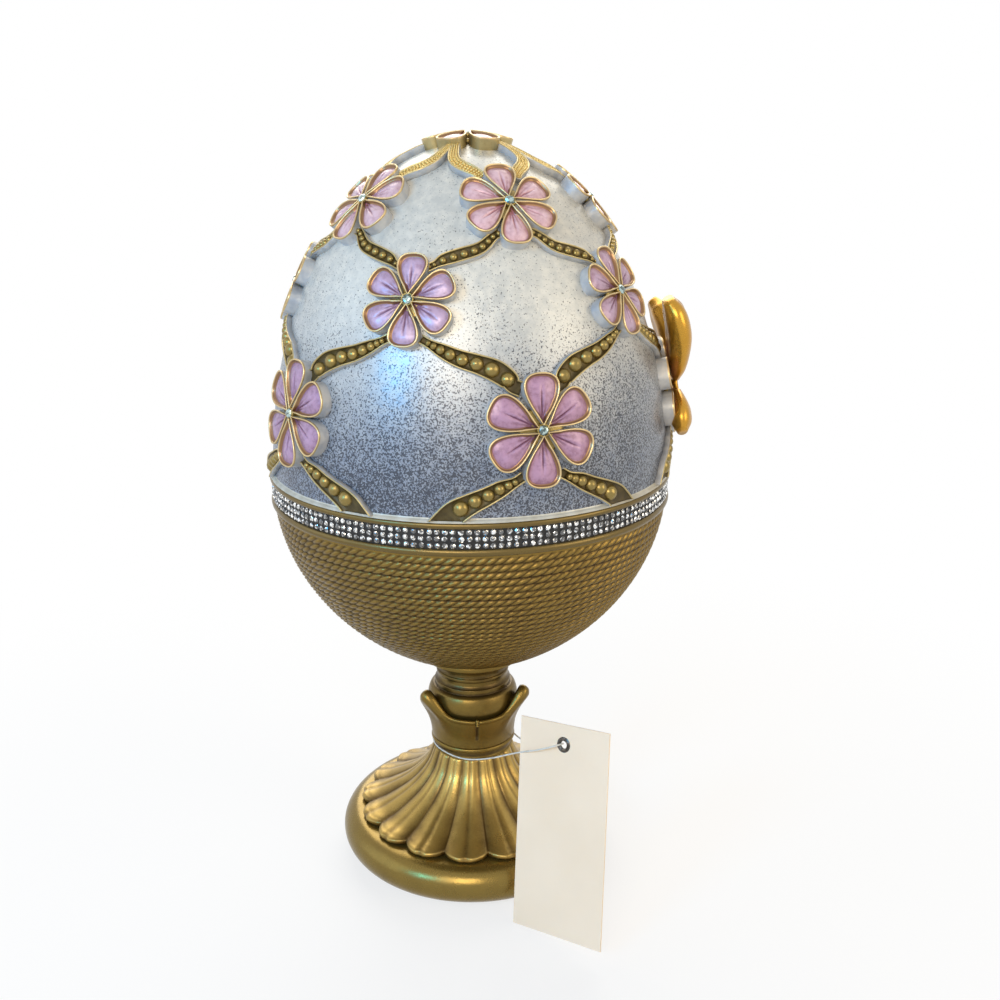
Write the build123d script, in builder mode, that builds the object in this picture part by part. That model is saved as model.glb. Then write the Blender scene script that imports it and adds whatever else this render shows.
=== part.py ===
from build123d import *
import os
from math import cos, degrees, dist, hypot, pi, radians, sin, sqrt, tan

# A jewelled egg on a turned stand, with a swing tag on a loop of clear thread. Millimetres, +Z up.
# The origin is the middle of the foot's underside. Turns are in degrees about +Z from +X.

# Clearances and overruns
SEAT_CLEARANCE = 0.1
ROD_CLEARANCE = 0.3
CUP_CLEARANCE = 0.3
CUT_OVERRUN = 1.0
PROBE = 0.01

# Rounds are many-sided, so that rings and relief seat on flats
FOOT_SIDES = 48
NECK_SIDES = 24
EGG_SIDES = 40
BORE_SIDES = 12

# Felt and foot
FELT_RADIUS = 46.0
FELT_THICKNESS = 1.5
FOOT_RADIUS = 58.0
FOOT_THICKNESS = 16.5
FOOT_EDGE_STEPS = 6
NUT_RECESS_RADIUS = 11.0
NUT_RECESS_DEPTH = 8.0

# Tie rod, nut and washer that hold the stand together
ROD_RADIUS = 3.0
ROD_IN_BOWL = 16.0
NUT_RADIUS = 5.8
NUT_SIDES = 6
NUT_THICKNESS = 4.0
ROD_END_PROUD = 1.5
WASHER_RADIUS = 9.0
WASHER_THICKNESS = 1.2

# Fluted skirt
SCALLOPS = 16
SCALLOP_TURN = 7.3
SKIRT_HEM_RADIUS = 48.0
SKIRT_TOP_RADIUS = 17.0
SKIRT_HEIGHT = 29.0
SKIRT_RISE_SHARES = (0.0, 0.07, 0.2, 0.42, 0.7, 1.0)
SKIRT_FLARE_SHARES = (0.97, 1.0, 0.7, 0.36, 0.12, 0.0)
CUSP_SHARE = 0.935
GROOVE_SHARE = 0.978
LOBE_SHARE = 0.3

# Thread groove collar
COLLAR_RADIUS = 18.3
COLLAR_HEIGHT = 5.5
GROOVE_RADIUS = 16.6
GROOVE_LOW_SHARE = 0.12
GROOVE_HIGH_SHARE = 0.6

# Leaf cup
LEAVES = 3
LEAF_TURN = -85.0
LEAF_POINTS = 8
LEAF_THICKNESS = 1.6
LEAF_FLOOR = 2.0
LEAF_FOOT_RADIUS = 18.0
LEAF_NOTCH_RADIUS = 20.8
LEAF_TIP_RADIUS = 25.6
LEAF_NOTCH_HEIGHT = 14.5
LEAF_TIP_HEIGHT = 22.5
LEAF_TIP_SHARPNESS = 30
LEAF_FLARE_SHARPNESS = 16
LEAF_CURL_SHARES = ((0.0, 0.0), (0.35, 0.24), (0.7, 0.58), (0.9, 0.8), (1.0, 1.0))

# Turned neck, as rise shares of its height and its radius there
NECK_HEIGHT = 36.5
NECK_FOOT_RADIUS = 13.5
NECK_COVE_RADIUS = 16.8
NECK_BULB_RADIUS = 18.5
NECK_SHOULDER_RADIUS = 19.3
NECK_STEP_RADIUS = 16.3
NECK_WAIST_RADIUS = 15.0
NECK_TOP_RADIUS = 17.4
NECK_OUTLINE = (
    (0.0, NECK_FOOT_RADIUS), (0.1, NECK_FOOT_RADIUS), (0.26, NECK_COVE_RADIUS), (0.38, NECK_BULB_RADIUS),
    (0.46, NECK_SHOULDER_RADIUS), (0.56, NECK_SHOULDER_RADIUS), (0.63, NECK_BULB_RADIUS),
    (0.67, NECK_STEP_RADIUS), (0.72, NECK_STEP_RADIUS), (0.8, NECK_WAIST_RADIUS), (0.9, NECK_WAIST_RADIUS),
    (1.0, NECK_TOP_RADIUS),
)

# Egg
EGG_RADIUS = 79.5
EGG_CROWN_RISE = 131.0
EGG_BOWL_DROP = 81.0
BOWL_SUNK = 1.0
CROWN_ROUNDNESS = 2.08
CROWN_FULLNESS = 1.92
BOWL_ROUNDNESS = 1.95
BOWL_FULLNESS = 1.75
DOME_BANDS = 10
DOME_BAND_POWER = 1.6
BOWL_BANDS = 8
BOWL_BAND_POWER = 1.5
CROWN_FLAT_SHARE = 0.56
BOWL_FOOT_RADIUS = 20.7
BOWL_FOOT_HEIGHT = 2.6

# Girdle
LOWER_RIM_HEIGHT = 2.5
STONE_BAND_HEIGHT = 7.5
UPPER_RIM_HEIGHT = 3.0
RIM_PROUD = 1.5
RIM_DEPTH = 7.5
RIM_CHAMFER_SHARE = 0.3
STONE_BAND_PROUD = 0.2
STONE_ROWS = 3
STONE_HEIGHT = 0.9
STONE_MARGIN = 0.1

# Flowers
FLOWERS_ROUND = 5
PETALS = 6
LOW_ROW_RISE_SHARE = 0.282
MIDDLE_ROW_RISE_SHARE = 0.601
HIGH_ROW_RISE_SHARE = 0.832
LOW_FLOWER_SHARE = 0.248
MIDDLE_FLOWER_SHARE = 0.209
HIGH_FLOWER_SHARE = 0.214
CROWN_FLOWER_SHARE = 0.201
FLOWER_RELIEF = 4.6
PETAL_WIDTH_SHARE = 0.66
PETAL_ROOT_SHARE = 0.16
PETAL_OUTLINE_SHARES = ((0.02, 0.46), (0.2, 0.5), (0.39, 0.38), (0.5, 0.14))
PETAL_DRAFT = 4.0
WALK_STEPS = 6
HUB_SHARE = 0.2
HUB_SIDES = 6
HUB_PROUD = 0.4
GEM_SHARE = 0.6
GEM_SEAT_DEPTH = 1.5
GEM_CULET_SHARE = 0.3
GEM_PAVILION = 1.2
GEM_CROWN = 0.8
GEM_TABLE_SHARE = 0.65

# Beaded straps between the flowers: they leave and reach them in the gaps between petals, at shares of the
# flowers' radii, then rows of shares of the way round, of the way down and of the widest half width
STRAP_RELIEF = 3.0
STRAP_SEAT = 0.25
STRAP_HALF_WIDTH = 5.2
CROWN_STRAP_TURN_SHARE = 0.9
CROWN_STRAP_LEAVE_SHARE = 1.11
CROWN_STRAP_REACH_SHARE = 0.97
HIGH_STRAP_LEAVE_SHARE = 0.9
HIGH_STRAP_REACH_SHARE = 0.9
MIDDLE_STRAP_LEAVE_SHARE = 1.0
MIDDLE_STRAP_REACH_SHARE = 0.9
LOW_STRAP_LEAVE_SHARE = 1.0
LOW_STRAP_TURN_SHARE = 0.66
CROWN_STRAP_SHARES = (
    (0.0, 0.0, 0.37), (0.19, 0.44, 0.58), (0.48, 0.69, 0.69), (0.8, 0.86, 0.62), (1.0, 1.0, 0.46),
)
HIGH_STRAP_SHARES = (
    (0.0, 0.0, 0.29), (0.25, 0.4, 0.38), (0.6, 0.64, 0.42), (0.86, 0.82, 0.38), (1.0, 1.0, 0.23),
)
MIDDLE_STRAP_SHARES = (
    (0.0, 0.0, 0.33), (0.17, 0.16, 0.5), (0.37, 0.33, 0.6), (0.6, 0.47, 0.67), (0.8, 0.63, 0.75),
    (0.95, 0.85, 0.69), (1.0, 1.0, 0.54),
)
LOW_STRAP_SHARES = (
    (0.0, 0.0, 0.38), (0.2, 0.15, 0.58), (0.41, 0.33, 0.65), (0.66, 0.53, 0.75), (0.88, 0.75, 0.88),
    (1.0, 1.0, 1.0),
)

# Ribbon bow on the flower that faces +X, laid on that flower: a stem in its stone's seat under the knot, and
# loops and tails as rows of shares of reach, rise, standing out, half width and half thickness
BOW_TILT = -8.0
BOW_SIDES = 8
STEM_RADIUS = 2.0
STEM_DEPTH = 1.3
KNOT_WIDTH = 9.0
KNOT_HEIGHT = 8.4
KNOT_DEPTH = 2.0
KNOT_SHARES = ((0.0, 0.8), (0.5, 1.0), (1.0, 0.75))
LOOP_REACH = 21.5
LOOP_RISE = 33.5
LOOP_STAND = 6.4
LOOP_HALF_WIDTH = 10.0
LOOP_HALF_THICKNESS = 3.7
LOOP_SHARES = ((0.22, 0.09, 1.0, 0.3, 0.26), (0.38, 0.27, 0.98, 0.75, 0.5), (0.56, 0.48, 1.0, 0.95, 0.76),
               (0.75, 0.67, 0.91, 1.0, 1.0), (0.91, 0.86, 0.69, 0.8, 0.96), (1.0, 1.0, 0.38, 0.35, 0.43))
TAIL_REACH = 15.5
TAIL_FALL = 17.0
TAIL_STAND = 6.7
TAIL_HALF_WIDTH = 6.2
TAIL_HALF_THICKNESS = 3.0
TAIL_SHARES = ((0.28, 0.19, 0.96, 0.42, 0.33), (0.45, 0.38, 0.96, 0.75, 0.6), (0.68, 0.61, 1.0, 1.0, 0.95),
               (0.87, 0.82, 0.91, 0.95, 1.0), (1.0, 1.0, 0.78, 0.5, 0.4))

# Swing tag
TAG_WIDTH = 41.2
TAG_LENGTH = 84.0
TAG_THICKNESS = 0.6
TAG_HOLE_BELOW_TOP = 8.0
TAG_HOLE_RADIUS = 2.6
TAG_TURN = -38.0
TAG_RISE = 7.0
TAG_LEAN = 13.3
TAG_HOLE_PLACE = (35.3, -57.0, 76.2)
EYELET_RADIUS = 3.4
EYELET_BORE_RADIUS = 2.0
EYELET_FLANGE = 0.25
EYELET_SIDES = 12

# Thread, through the eyelet and round the groove, with its route's points
THREAD_RADIUS = 0.4
THREAD_SIDES = 4
THREAD_CORNER_SHARE = 0.45
THREAD_ROUTE = (
    (34.3, -56.34, 76.08), (32.5, -58.05, 76.6), (28.4, -56.8, 76.5), (24.7, -52.6, 75.8), (17.0, -45.9, 73.6),
    (6.5, -33.0, 61.8), (-5.4, -20.2, 50.5), (-17.0, -7.6, 48.7), (-18.1, 5.2, 48.5), (-10.0, 16.0, 48.4),
    (3.3, 18.6, 48.5), (14.9, 11.5, 48.7), (19.6, -4.0, 50.2), (24.6, -21.6, 56.6), (30.4, -38.6, 65.4),
    (33.6, -48.0, 71.3), (36.0, -53.2, 74.7), (34.42, -56.19, 76.03),
)

# Places and sizes that follow from those above
FOOT_TOP = FELT_THICKNESS + FOOT_THICKNESS
SKIRT_TOP = FOOT_TOP + SKIRT_HEIGHT
COLLAR_TOP = SKIRT_TOP + COLLAR_HEIGHT
NECK_TOP = COLLAR_TOP + NECK_HEIGHT
BOWL_BASE = NECK_TOP + BOWL_FOOT_HEIGHT
EGG_WAIST_HEIGHT = NECK_TOP + EGG_BOWL_DROP - BOWL_SUNK
GIRDLE_BASE = EGG_WAIST_HEIGHT - STONE_BAND_HEIGHT / 2 - LOWER_RIM_HEIGHT
STONE_BAND_BASE = GIRDLE_BASE + LOWER_RIM_HEIGHT
UPPER_RIM_BASE = STONE_BAND_BASE + STONE_BAND_HEIGHT
DOME_BASE = UPPER_RIM_BASE + UPPER_RIM_HEIGHT
TENON_RADIUS = EGG_RADIUS - RIM_DEPTH
LOW_ROW_HEIGHT = EGG_WAIST_HEIGHT + EGG_CROWN_RISE * LOW_ROW_RISE_SHARE
MIDDLE_ROW_HEIGHT = EGG_WAIST_HEIGHT + EGG_CROWN_RISE * MIDDLE_ROW_RISE_SHARE
HIGH_ROW_HEIGHT = EGG_WAIST_HEIGHT + EGG_CROWN_RISE * HIGH_ROW_RISE_SHARE
LOW_FLOWER_RADIUS = EGG_RADIUS * LOW_FLOWER_SHARE
MIDDLE_FLOWER_RADIUS = EGG_RADIUS * MIDDLE_FLOWER_SHARE
HIGH_FLOWER_RADIUS = EGG_RADIUS * HIGH_FLOWER_SHARE
CROWN_FLOWER_RADIUS = EGG_RADIUS * CROWN_FLOWER_SHARE
FLOWER_PITCH = 360 / FLOWERS_ROUND


def ground_radius(height):
    """Radius of the egg's ground at a height."""
    if height >= EGG_WAIST_HEIGHT:
        share = (height - EGG_WAIST_HEIGHT) / EGG_CROWN_RISE
        return EGG_RADIUS * max(0, 1 - share**CROWN_ROUNDNESS) ** (1 / CROWN_FULLNESS)
    share = (EGG_WAIST_HEIGHT - height) / EGG_BOWL_DROP
    return EGG_RADIUS * max(0, 1 - share**BOWL_ROUNDNESS) ** (1 / BOWL_FULLNESS)


def crown_height(radius):
    """Height at which the crown has shrunk to a radius."""
    share = (1 - (radius / EGG_RADIUS) ** CROWN_FULLNESS) ** (1 / CROWN_ROUNDNESS)
    return EGG_WAIST_HEIGHT + EGG_CROWN_RISE * share


def ground_plane(turn, height):
    """Plane that lies on the ground at a turn and a height, with local X level and local Z outward."""
    slope = (ground_radius(height + PROBE) - ground_radius(height - PROBE)) / (2 * PROBE)
    level = hypot(1, slope)
    way = (cos(radians(turn)), sin(radians(turn)))
    radius = ground_radius(height)
    outward = Vector(way[0] / level, way[1] / level, -slope / level)
    return Plane(origin=(radius * way[0], radius * way[1], height), x_dir=(-way[1], way[0], 0), z_dir=outward)


def round_point(radius, turn, height):
    return (radius * cos(radians(turn)), radius * sin(radians(turn)), height)


def panelled(rings, closed=False):
    """Solid whose skin is flat panels between rings of points; open ends are capped."""
    faces = []
    pairs = list(zip(rings, rings[1:]))
    if closed:
        pairs.append((rings[-1], rings[0]))
    else:
        faces += [Face(Wire.make_polygon(ring)) for ring in (rings[0], rings[-1])]
    for low, high in pairs:
        for k in range(len(low)):
            a, b, c, d = low[k - 1], low[k], high[k], high[k - 1]
            faces.append(Face(Wire.make_polygon((a, b, c))))
            faces.append(Face(Wire.make_polygon((a, c, d))))
    return Solid(Shell(faces)).clean()


def turned(stations, sides):
    """Many-sided round, from an outline of (height, radius) stations on the axis."""
    pitch = 360 / sides
    rings = []
    for height, radius in stations:
        rings.append([round_point(radius, k * pitch, height) for k in range(sides)])
    add(panelled(rings))


def bore(low, high, radius=ROD_RADIUS + ROD_CLEARANCE):
    """Cut a many-sided bore on the axis from one height to another."""
    with BuildSketch(Plane.XY.offset(low)) as bore_foot:
        RegularPolygon(radius, BORE_SIDES)
    extrude(bore_foot.sketch, amount=high - low, mode=Mode.SUBTRACT)


def finish(part, name):
    """Name a piece and write it."""
    part.label = name
    export_step(part, f"parts/{name}.step")


os.makedirs("parts", exist_ok=True)

# Felt disc under the foot
with BuildPart() as felt:
    with BuildSketch():
        RegularPolygon(FELT_RADIUS, FOOT_SIDES)
    extrude(amount=FELT_THICKNESS)
finish(felt.part, "felt_pad")

# Foot: a turned disc with a full round edge and a recess below for the nut
foot_edge = FOOT_THICKNESS / 2
foot_stations = []
for step in range(FOOT_EDGE_STEPS + 1):
    swing = radians(180 * step / FOOT_EDGE_STEPS - 90)
    foot_stations.append((
        FELT_THICKNESS + foot_edge + foot_edge * sin(swing),
        FOOT_RADIUS - foot_edge + foot_edge * cos(swing),
    ))
with BuildPart() as foot:
    turned(foot_stations, FOOT_SIDES)
    bore(FELT_THICKNESS - CUT_OVERRUN, FOOT_TOP + CUT_OVERRUN)
    bore(FELT_THICKNESS - CUT_OVERRUN, FELT_THICKNESS + NUT_RECESS_DEPTH, NUT_RECESS_RADIUS)
finish(foot.part, "foot")

# Tie rod with its washer and nut in the recess
recess_top = FELT_THICKNESS + NUT_RECESS_DEPTH
nut_base = recess_top - WASHER_THICKNESS - NUT_THICKNESS
rod_base = nut_base - ROD_END_PROUD
rod_top = BOWL_BASE + ROD_IN_BOWL
with BuildPart() as washer:
    with BuildSketch(Plane.XY.offset(recess_top - WASHER_THICKNESS)):
        RegularPolygon(WASHER_RADIUS, BORE_SIDES)
        RegularPolygon(ROD_RADIUS + ROD_CLEARANCE, BORE_SIDES, mode=Mode.SUBTRACT)
    extrude(amount=WASHER_THICKNESS)
finish(washer.part, "base_washer")
with BuildPart() as nut:
    with BuildSketch(Plane.XY.offset(nut_base)):
        RegularPolygon(NUT_RADIUS, NUT_SIDES)
        RegularPolygon(ROD_RADIUS + SEAT_CLEARANCE, BORE_SIDES, mode=Mode.SUBTRACT)
    extrude(amount=NUT_THICKNESS)
finish(nut.part, "base_nut")
with BuildPart() as rod:
    with BuildSketch(Plane.XY.offset(rod_base)):
        RegularPolygon(ROD_RADIUS, BORE_SIDES)
    extrude(amount=rod_top - rod_base)
finish(rod.part, "tie_rod")

# Fluted skirt: a flared bell of scallops, each with a groove down its middle
skirt_rings = []
scallop_pitch = 360 / SCALLOPS
for rise, flare in zip(SKIRT_RISE_SHARES, SKIRT_FLARE_SHARES):
    radius = SKIRT_TOP_RADIUS + (SKIRT_HEM_RADIUS - SKIRT_TOP_RADIUS) * flare
    height = FOOT_TOP + SKIRT_HEIGHT * rise
    ring = []
    for scallop in range(SCALLOPS):
        cusp_turn = SCALLOP_TURN + scallop * scallop_pitch
        for depth, along in ((CUSP_SHARE, 0), (1, LOBE_SHARE), (GROOVE_SHARE, 0.5), (1, 1 - LOBE_SHARE)):
            ring.append(round_point(radius * depth, cusp_turn + along * scallop_pitch, height))
    skirt_rings.append(ring)
with BuildPart() as skirt:
    add(panelled(skirt_rings))
    bore(FOOT_TOP - CUT_OVERRUN, SKIRT_TOP + CUT_OVERRUN)
finish(skirt.part, "fluted_skirt")

# Collar with the groove that the thread lies in
with BuildPart() as collar:
    turned(
        (
            (SKIRT_TOP, SKIRT_TOP_RADIUS),
            (SKIRT_TOP + COLLAR_HEIGHT * GROOVE_LOW_SHARE, GROOVE_RADIUS),
            (SKIRT_TOP + COLLAR_HEIGHT * GROOVE_HIGH_SHARE, GROOVE_RADIUS),
            (SKIRT_TOP + COLLAR_HEIGHT * GROOVE_HIGH_SHARE, COLLAR_RADIUS),
            (COLLAR_TOP, COLLAR_RADIUS),
        ),
        NECK_SIDES,
    )
    bore(SKIRT_TOP - CUT_OVERRUN, COLLAR_TOP + CUT_OVERRUN)
finish(collar.part, "thread_collar")

# Leaf cup: pointed leaves joined low down, each curling out to its tip
cup_outside, cup_inside = [], []
leaf_pitch = 360 / LEAVES
for climb, curl in LEAF_CURL_SHARES:
    outer, inner = [], []
    for k in range(LEAVES * LEAF_POINTS):
        turn = LEAF_TURN + k * leaf_pitch / LEAF_POINTS
        swell = sin(pi * (k % LEAF_POINTS) / LEAF_POINTS)
        rim_radius = LEAF_NOTCH_RADIUS + (LEAF_TIP_RADIUS - LEAF_NOTCH_RADIUS) * swell**LEAF_FLARE_SHARPNESS
        rim_height = LEAF_NOTCH_HEIGHT + (LEAF_TIP_HEIGHT - LEAF_NOTCH_HEIGHT) * swell**LEAF_TIP_SHARPNESS
        radius = LEAF_FOOT_RADIUS + (rim_radius - LEAF_FOOT_RADIUS) * curl
        outer.append(round_point(radius, turn, COLLAR_TOP + rim_height * climb))
        inner_height = LEAF_FLOOR + (rim_height - LEAF_FLOOR) * climb
        inner.append(round_point(radius - LEAF_THICKNESS, turn, COLLAR_TOP + inner_height))
    cup_outside.append(outer)
    cup_inside.append(inner)
cup_bore = []
bore_radius = NECK_FOOT_RADIUS + CUP_CLEARANCE
leaf_turns = [LEAF_TURN + k * leaf_pitch / LEAF_POINTS for k in range(LEAVES * LEAF_POINTS)]
for height in (COLLAR_TOP + LEAF_FLOOR, COLLAR_TOP):
    cup_bore.append([round_point(bore_radius, turn, height) for turn in leaf_turns])
with BuildPart() as leaf_cup:
    add(panelled(cup_outside + cup_inside[::-1] + cup_bore, closed=True))
finish(leaf_cup.part, "leaf_cup")

# Neck
with BuildPart() as neck:
    turned([(COLLAR_TOP + NECK_HEIGHT * rise, radius) for rise, radius in NECK_OUTLINE], NECK_SIDES)
    bore(COLLAR_TOP - CUT_OVERRUN, NECK_TOP + CUT_OVERRUN)
finish(neck.part, "neck")

# Bowl: the lower half of the egg on its own foot ring, with a blind hole for the tie rod
bowl_stations = [(NECK_TOP, BOWL_FOOT_RADIUS), (BOWL_BASE, BOWL_FOOT_RADIUS)]
for band in range(1, BOWL_BANDS + 1):
    height = BOWL_BASE + (GIRDLE_BASE - BOWL_BASE) * (band / BOWL_BANDS) ** BOWL_BAND_POWER
    bowl_stations.append((height, ground_radius(height)))
with BuildPart() as bowl:
    turned(bowl_stations, EGG_SIDES)
    bore(NECK_TOP - CUT_OVERRUN, rod_top + SEAT_CLEARANCE)
finish(bowl.part, "egg_bowl")


def hoop(outline):
    """Closed ring whose section is an outline of (radius, height) points."""
    pitch = 360 / EGG_SIDES
    rings = []
    for radius, height in outline:
        rings.append([round_point(radius, k * pitch, height) for k in range(EGG_SIDES)])
    return panelled(rings, closed=True)


def rim_outline(base, height):
    """Section of a smooth rim with its two outer corners taken off."""
    outside = EGG_RADIUS + RIM_PROUD
    corner = height * RIM_CHAMFER_SHARE
    return (
        (TENON_RADIUS, base), (outside - corner, base), (outside, base + corner),
        (outside, base + height - corner), (outside - corner, base + height), (TENON_RADIUS, base + height),
    )


# Girdle: two rims, the dark band between them and its rows of stones
with BuildPart() as lower_rim:
    add(hoop(rim_outline(GIRDLE_BASE, LOWER_RIM_HEIGHT)))
finish(lower_rim.part, "lower_rim")
with BuildPart() as upper_rim:
    add(hoop(rim_outline(UPPER_RIM_BASE, UPPER_RIM_HEIGHT)))
finish(upper_rim.part, "upper_rim")
band_radius = EGG_RADIUS + STONE_BAND_PROUD
with BuildPart() as stone_band:
    add(hoop((
        (TENON_RADIUS, STONE_BAND_BASE), (band_radius, STONE_BAND_BASE),
        (band_radius, UPPER_RIM_BASE), (TENON_RADIUS, UPPER_RIM_BASE),
    )))
finish(stone_band.part, "stone_band")
row_pitch = (STONE_BAND_HEIGHT - 2 * STONE_MARGIN) / STONE_ROWS
with BuildPart() as stone_rows:
    for row in range(STONE_ROWS):
        row_base = STONE_BAND_BASE + STONE_MARGIN + row * row_pitch
        add(hoop((
            (band_radius, row_base), (band_radius + STONE_HEIGHT, row_base + row_pitch / 2),
            (band_radius, row_base + row_pitch - STONE_MARGIN),
        )))
finish(stone_rows.part, "stone_rows")

# Dome: the upper half of the egg, with a tenon that the girdle's hoops slip over
crown_flat = crown_height(CROWN_FLOWER_RADIUS * CROWN_FLAT_SHARE)
dome_stations = [(GIRDLE_BASE, TENON_RADIUS), (DOME_BASE, TENON_RADIUS), (DOME_BASE, ground_radius(DOME_BASE))]
for band in range(1, DOME_BANDS + 1):
    height = crown_flat - (crown_flat - DOME_BASE) * (1 - band / DOME_BANDS) ** DOME_BAND_POWER
    dome_stations.append((height, ground_radius(height)))
with BuildPart() as dome:
    turned(dome_stations, EGG_SIDES)
finish(dome.part, "egg_dome")


def petal(place, towards, length, width):
    """One flat petal, seated on the ground at its middle and pointing away from the flower's heart."""
    lie = Plane(origin=place.origin, x_dir=place.origin - towards, z_dir=place.z_dir).offset(SEAT_CLEARANCE)
    right = [(along * length, -half * width) for along, half in PETAL_OUTLINE_SHARES]
    left = [(along, -half) for along, half in reversed(right)]
    with BuildSketch(lie) as outline:
        Polygon((-length / 2, 0), *right, *left, align=None)
    extrude(outline.sketch, amount=FLOWER_RELIEF, taper=PETAL_DRAFT)


def heart(place, radius):
    """The flower's middle boss with the seat for its stone."""
    boss = place.offset(SEAT_CLEARANCE)
    with BuildSketch(boss) as outline:
        RegularPolygon(radius * HUB_SHARE, HUB_SIDES)
    extrude(outline.sketch, amount=FLOWER_RELIEF + HUB_PROUD)
    with BuildSketch(boss.offset(FLOWER_RELIEF + HUB_PROUD - GEM_SEAT_DEPTH)) as seat:
        RegularPolygon(radius * HUB_SHARE * GEM_SHARE + SEAT_CLEARANCE, HUB_SIDES)
    extrude(seat.sketch, amount=GEM_SEAT_DEPTH + CUT_OVERRUN, mode=Mode.SUBTRACT)


def walk(turn, height, way, distance):
    """Turn and height reached by walking over the ground, some degrees up from level."""
    step = distance / WALK_STEPS
    for _ in range(WALK_STEPS):
        height += step * sin(radians(way)) * ground_plane(turn, height).y_dir.Z
        turn += degrees(step * cos(radians(way)) / ground_radius(height))
    return turn, height


def flower(turn, height, radius):
    """Six petals round a boss on the side of the egg, one of them pointing up and one down."""
    middle = ground_plane(turn, height)
    for k in range(PETALS):
        there = walk(turn, height, 90 + k * 360 / PETALS, radius * (1 + PETAL_ROOT_SHARE) / 2)
        length = radius * (1 - PETAL_ROOT_SHARE)
        petal(ground_plane(*there), middle.origin, length, radius * PETAL_WIDTH_SHARE)
    heart(middle, radius)


def stone(place, radius):
    """Faceted stone in the seat of a flower's boss."""
    girdle = radius * HUB_SHARE * GEM_SHARE
    floor = SEAT_CLEARANCE + FLOWER_RELIEF + HUB_PROUD - GEM_SEAT_DEPTH + SEAT_CLEARANCE
    rings = []
    for share, out in ((GEM_CULET_SHARE, 0), (1, GEM_PAVILION), (GEM_TABLE_SHARE, GEM_PAVILION + GEM_CROWN)):
        ring = []
        for k in range(HUB_SIDES):
            swing = 2 * pi * k / HUB_SIDES
            corner = (girdle * share * cos(swing), girdle * share * sin(swing), floor + out)
            ring.append(place.from_local_coords(corner))
        rings.append(ring)
    add(panelled(rings))


# Flowers in three staggered rows, then one on the crown; the bow takes the place of one stone
flower_rows = (
    ("low", 0, LOW_ROW_HEIGHT, LOW_FLOWER_RADIUS),
    ("middle", FLOWER_PITCH / 2, MIDDLE_ROW_HEIGHT, MIDDLE_FLOWER_RADIUS),
    ("high", 0, HIGH_ROW_HEIGHT, HIGH_FLOWER_RADIUS),
)
for row_name, first_turn, height, radius in flower_rows:
    with BuildPart() as one_flower:
        flower(first_turn, height, radius)
    with BuildPart() as one_stone:
        stone(ground_plane(first_turn, height), radius)
    with BuildPart() as row_flowers:
        with PolarLocations(0, FLOWERS_ROUND):
            add(one_flower.part)
    finish(row_flowers.part, f"flowers_{row_name}")
    bow_gap = 1 if row_name == "low" else 0
    with BuildPart() as row_stones:
        with PolarLocations(0, FLOWERS_ROUND - bow_gap, bow_gap * FLOWER_PITCH, 360 - bow_gap * FLOWER_PITCH):
            add(one_stone.part)
    finish(row_stones.part, f"stones_{row_name}")

crown_place = Plane.XY.offset(crown_flat)
crown_reach = CROWN_FLOWER_RADIUS * (1 + PETAL_ROOT_SHARE) / 2
with BuildPart() as crown_flower:
    for k in range(PETALS):
        lie = ground_plane(k * 360 / PETALS, crown_height(crown_reach))
        petal(
            lie, crown_place.origin,
            CROWN_FLOWER_RADIUS * (1 - PETAL_ROOT_SHARE), CROWN_FLOWER_RADIUS * PETAL_WIDTH_SHARE,
        )
    heart(crown_place, CROWN_FLOWER_RADIUS)
finish(crown_flower.part, "flower_crown")
with BuildPart() as crown_stone:
    stone(crown_place, CROWN_FLOWER_RADIUS)
finish(crown_stone.part, "stone_crown")


def ribbon(middles, halves, backs, fronts):
    """Flat-sided strip along a line of planes: half widths, and how far its back and front stand out."""
    rings = []
    for k, place in enumerate(middles):
        ahead = middles[min(k + 1, len(middles) - 1)].origin - middles[max(k - 1, 0)].origin
        across = ahead.cross(place.z_dir).normalized()
        ring = []
        for side, out in ((-1, backs), (1, backs), (1, fronts), (-1, fronts)):
            ring.append(place.origin + across * (side * halves[k]) + place.z_dir * out)
        rings.append(ring)
    return panelled(rings)


def strap_pair(first_turn, start, end, shares):
    """Two mirrored S-shaped straps from one flower, between two places given as turn and height."""
    for side in (-1, 1):
        middles = []
        for round_share, down_share, _ in shares:
            turn = start[0] + (end[0] - start[0]) * round_share
            middles.append(ground_plane(first_turn + side * turn, start[1] + (end[1] - start[1]) * down_share))
        halves = [STRAP_HALF_WIDTH * share for _, _, share in shares]
        add(ribbon(middles, halves, STRAP_SEAT, STRAP_RELIEF))


# Straps: those of the lowest row are cut level where they meet the rim
half_pitch = FLOWER_PITCH / 2
gap_way = 360 / PETALS
crown_start = (half_pitch * CROWN_STRAP_TURN_SHARE, crown_height(CROWN_FLOWER_RADIUS * CROWN_STRAP_LEAVE_SHARE))
crown_end = walk(0, HIGH_ROW_HEIGHT, gap_way, HIGH_FLOWER_RADIUS * CROWN_STRAP_REACH_SHARE)
high_reach = MIDDLE_FLOWER_RADIUS * HIGH_STRAP_REACH_SHARE
middle_leave = MIDDLE_FLOWER_RADIUS * MIDDLE_STRAP_LEAVE_SHARE
middle_reach = LOW_FLOWER_RADIUS * MIDDLE_STRAP_REACH_SHARE
high_start = walk(0, HIGH_ROW_HEIGHT, -gap_way, HIGH_FLOWER_RADIUS * HIGH_STRAP_LEAVE_SHARE)
high_end = walk(half_pitch, MIDDLE_ROW_HEIGHT, 180 - gap_way, high_reach)
middle_start = walk(0, MIDDLE_ROW_HEIGHT, -gap_way, middle_leave)
middle_end = walk(half_pitch, LOW_ROW_HEIGHT, 180 - gap_way, middle_reach)
low_start = walk(0, LOW_ROW_HEIGHT, -gap_way, LOW_FLOWER_RADIUS * LOW_STRAP_LEAVE_SHARE)
low_end = (half_pitch * LOW_STRAP_TURN_SHARE, DOME_BASE)
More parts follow.
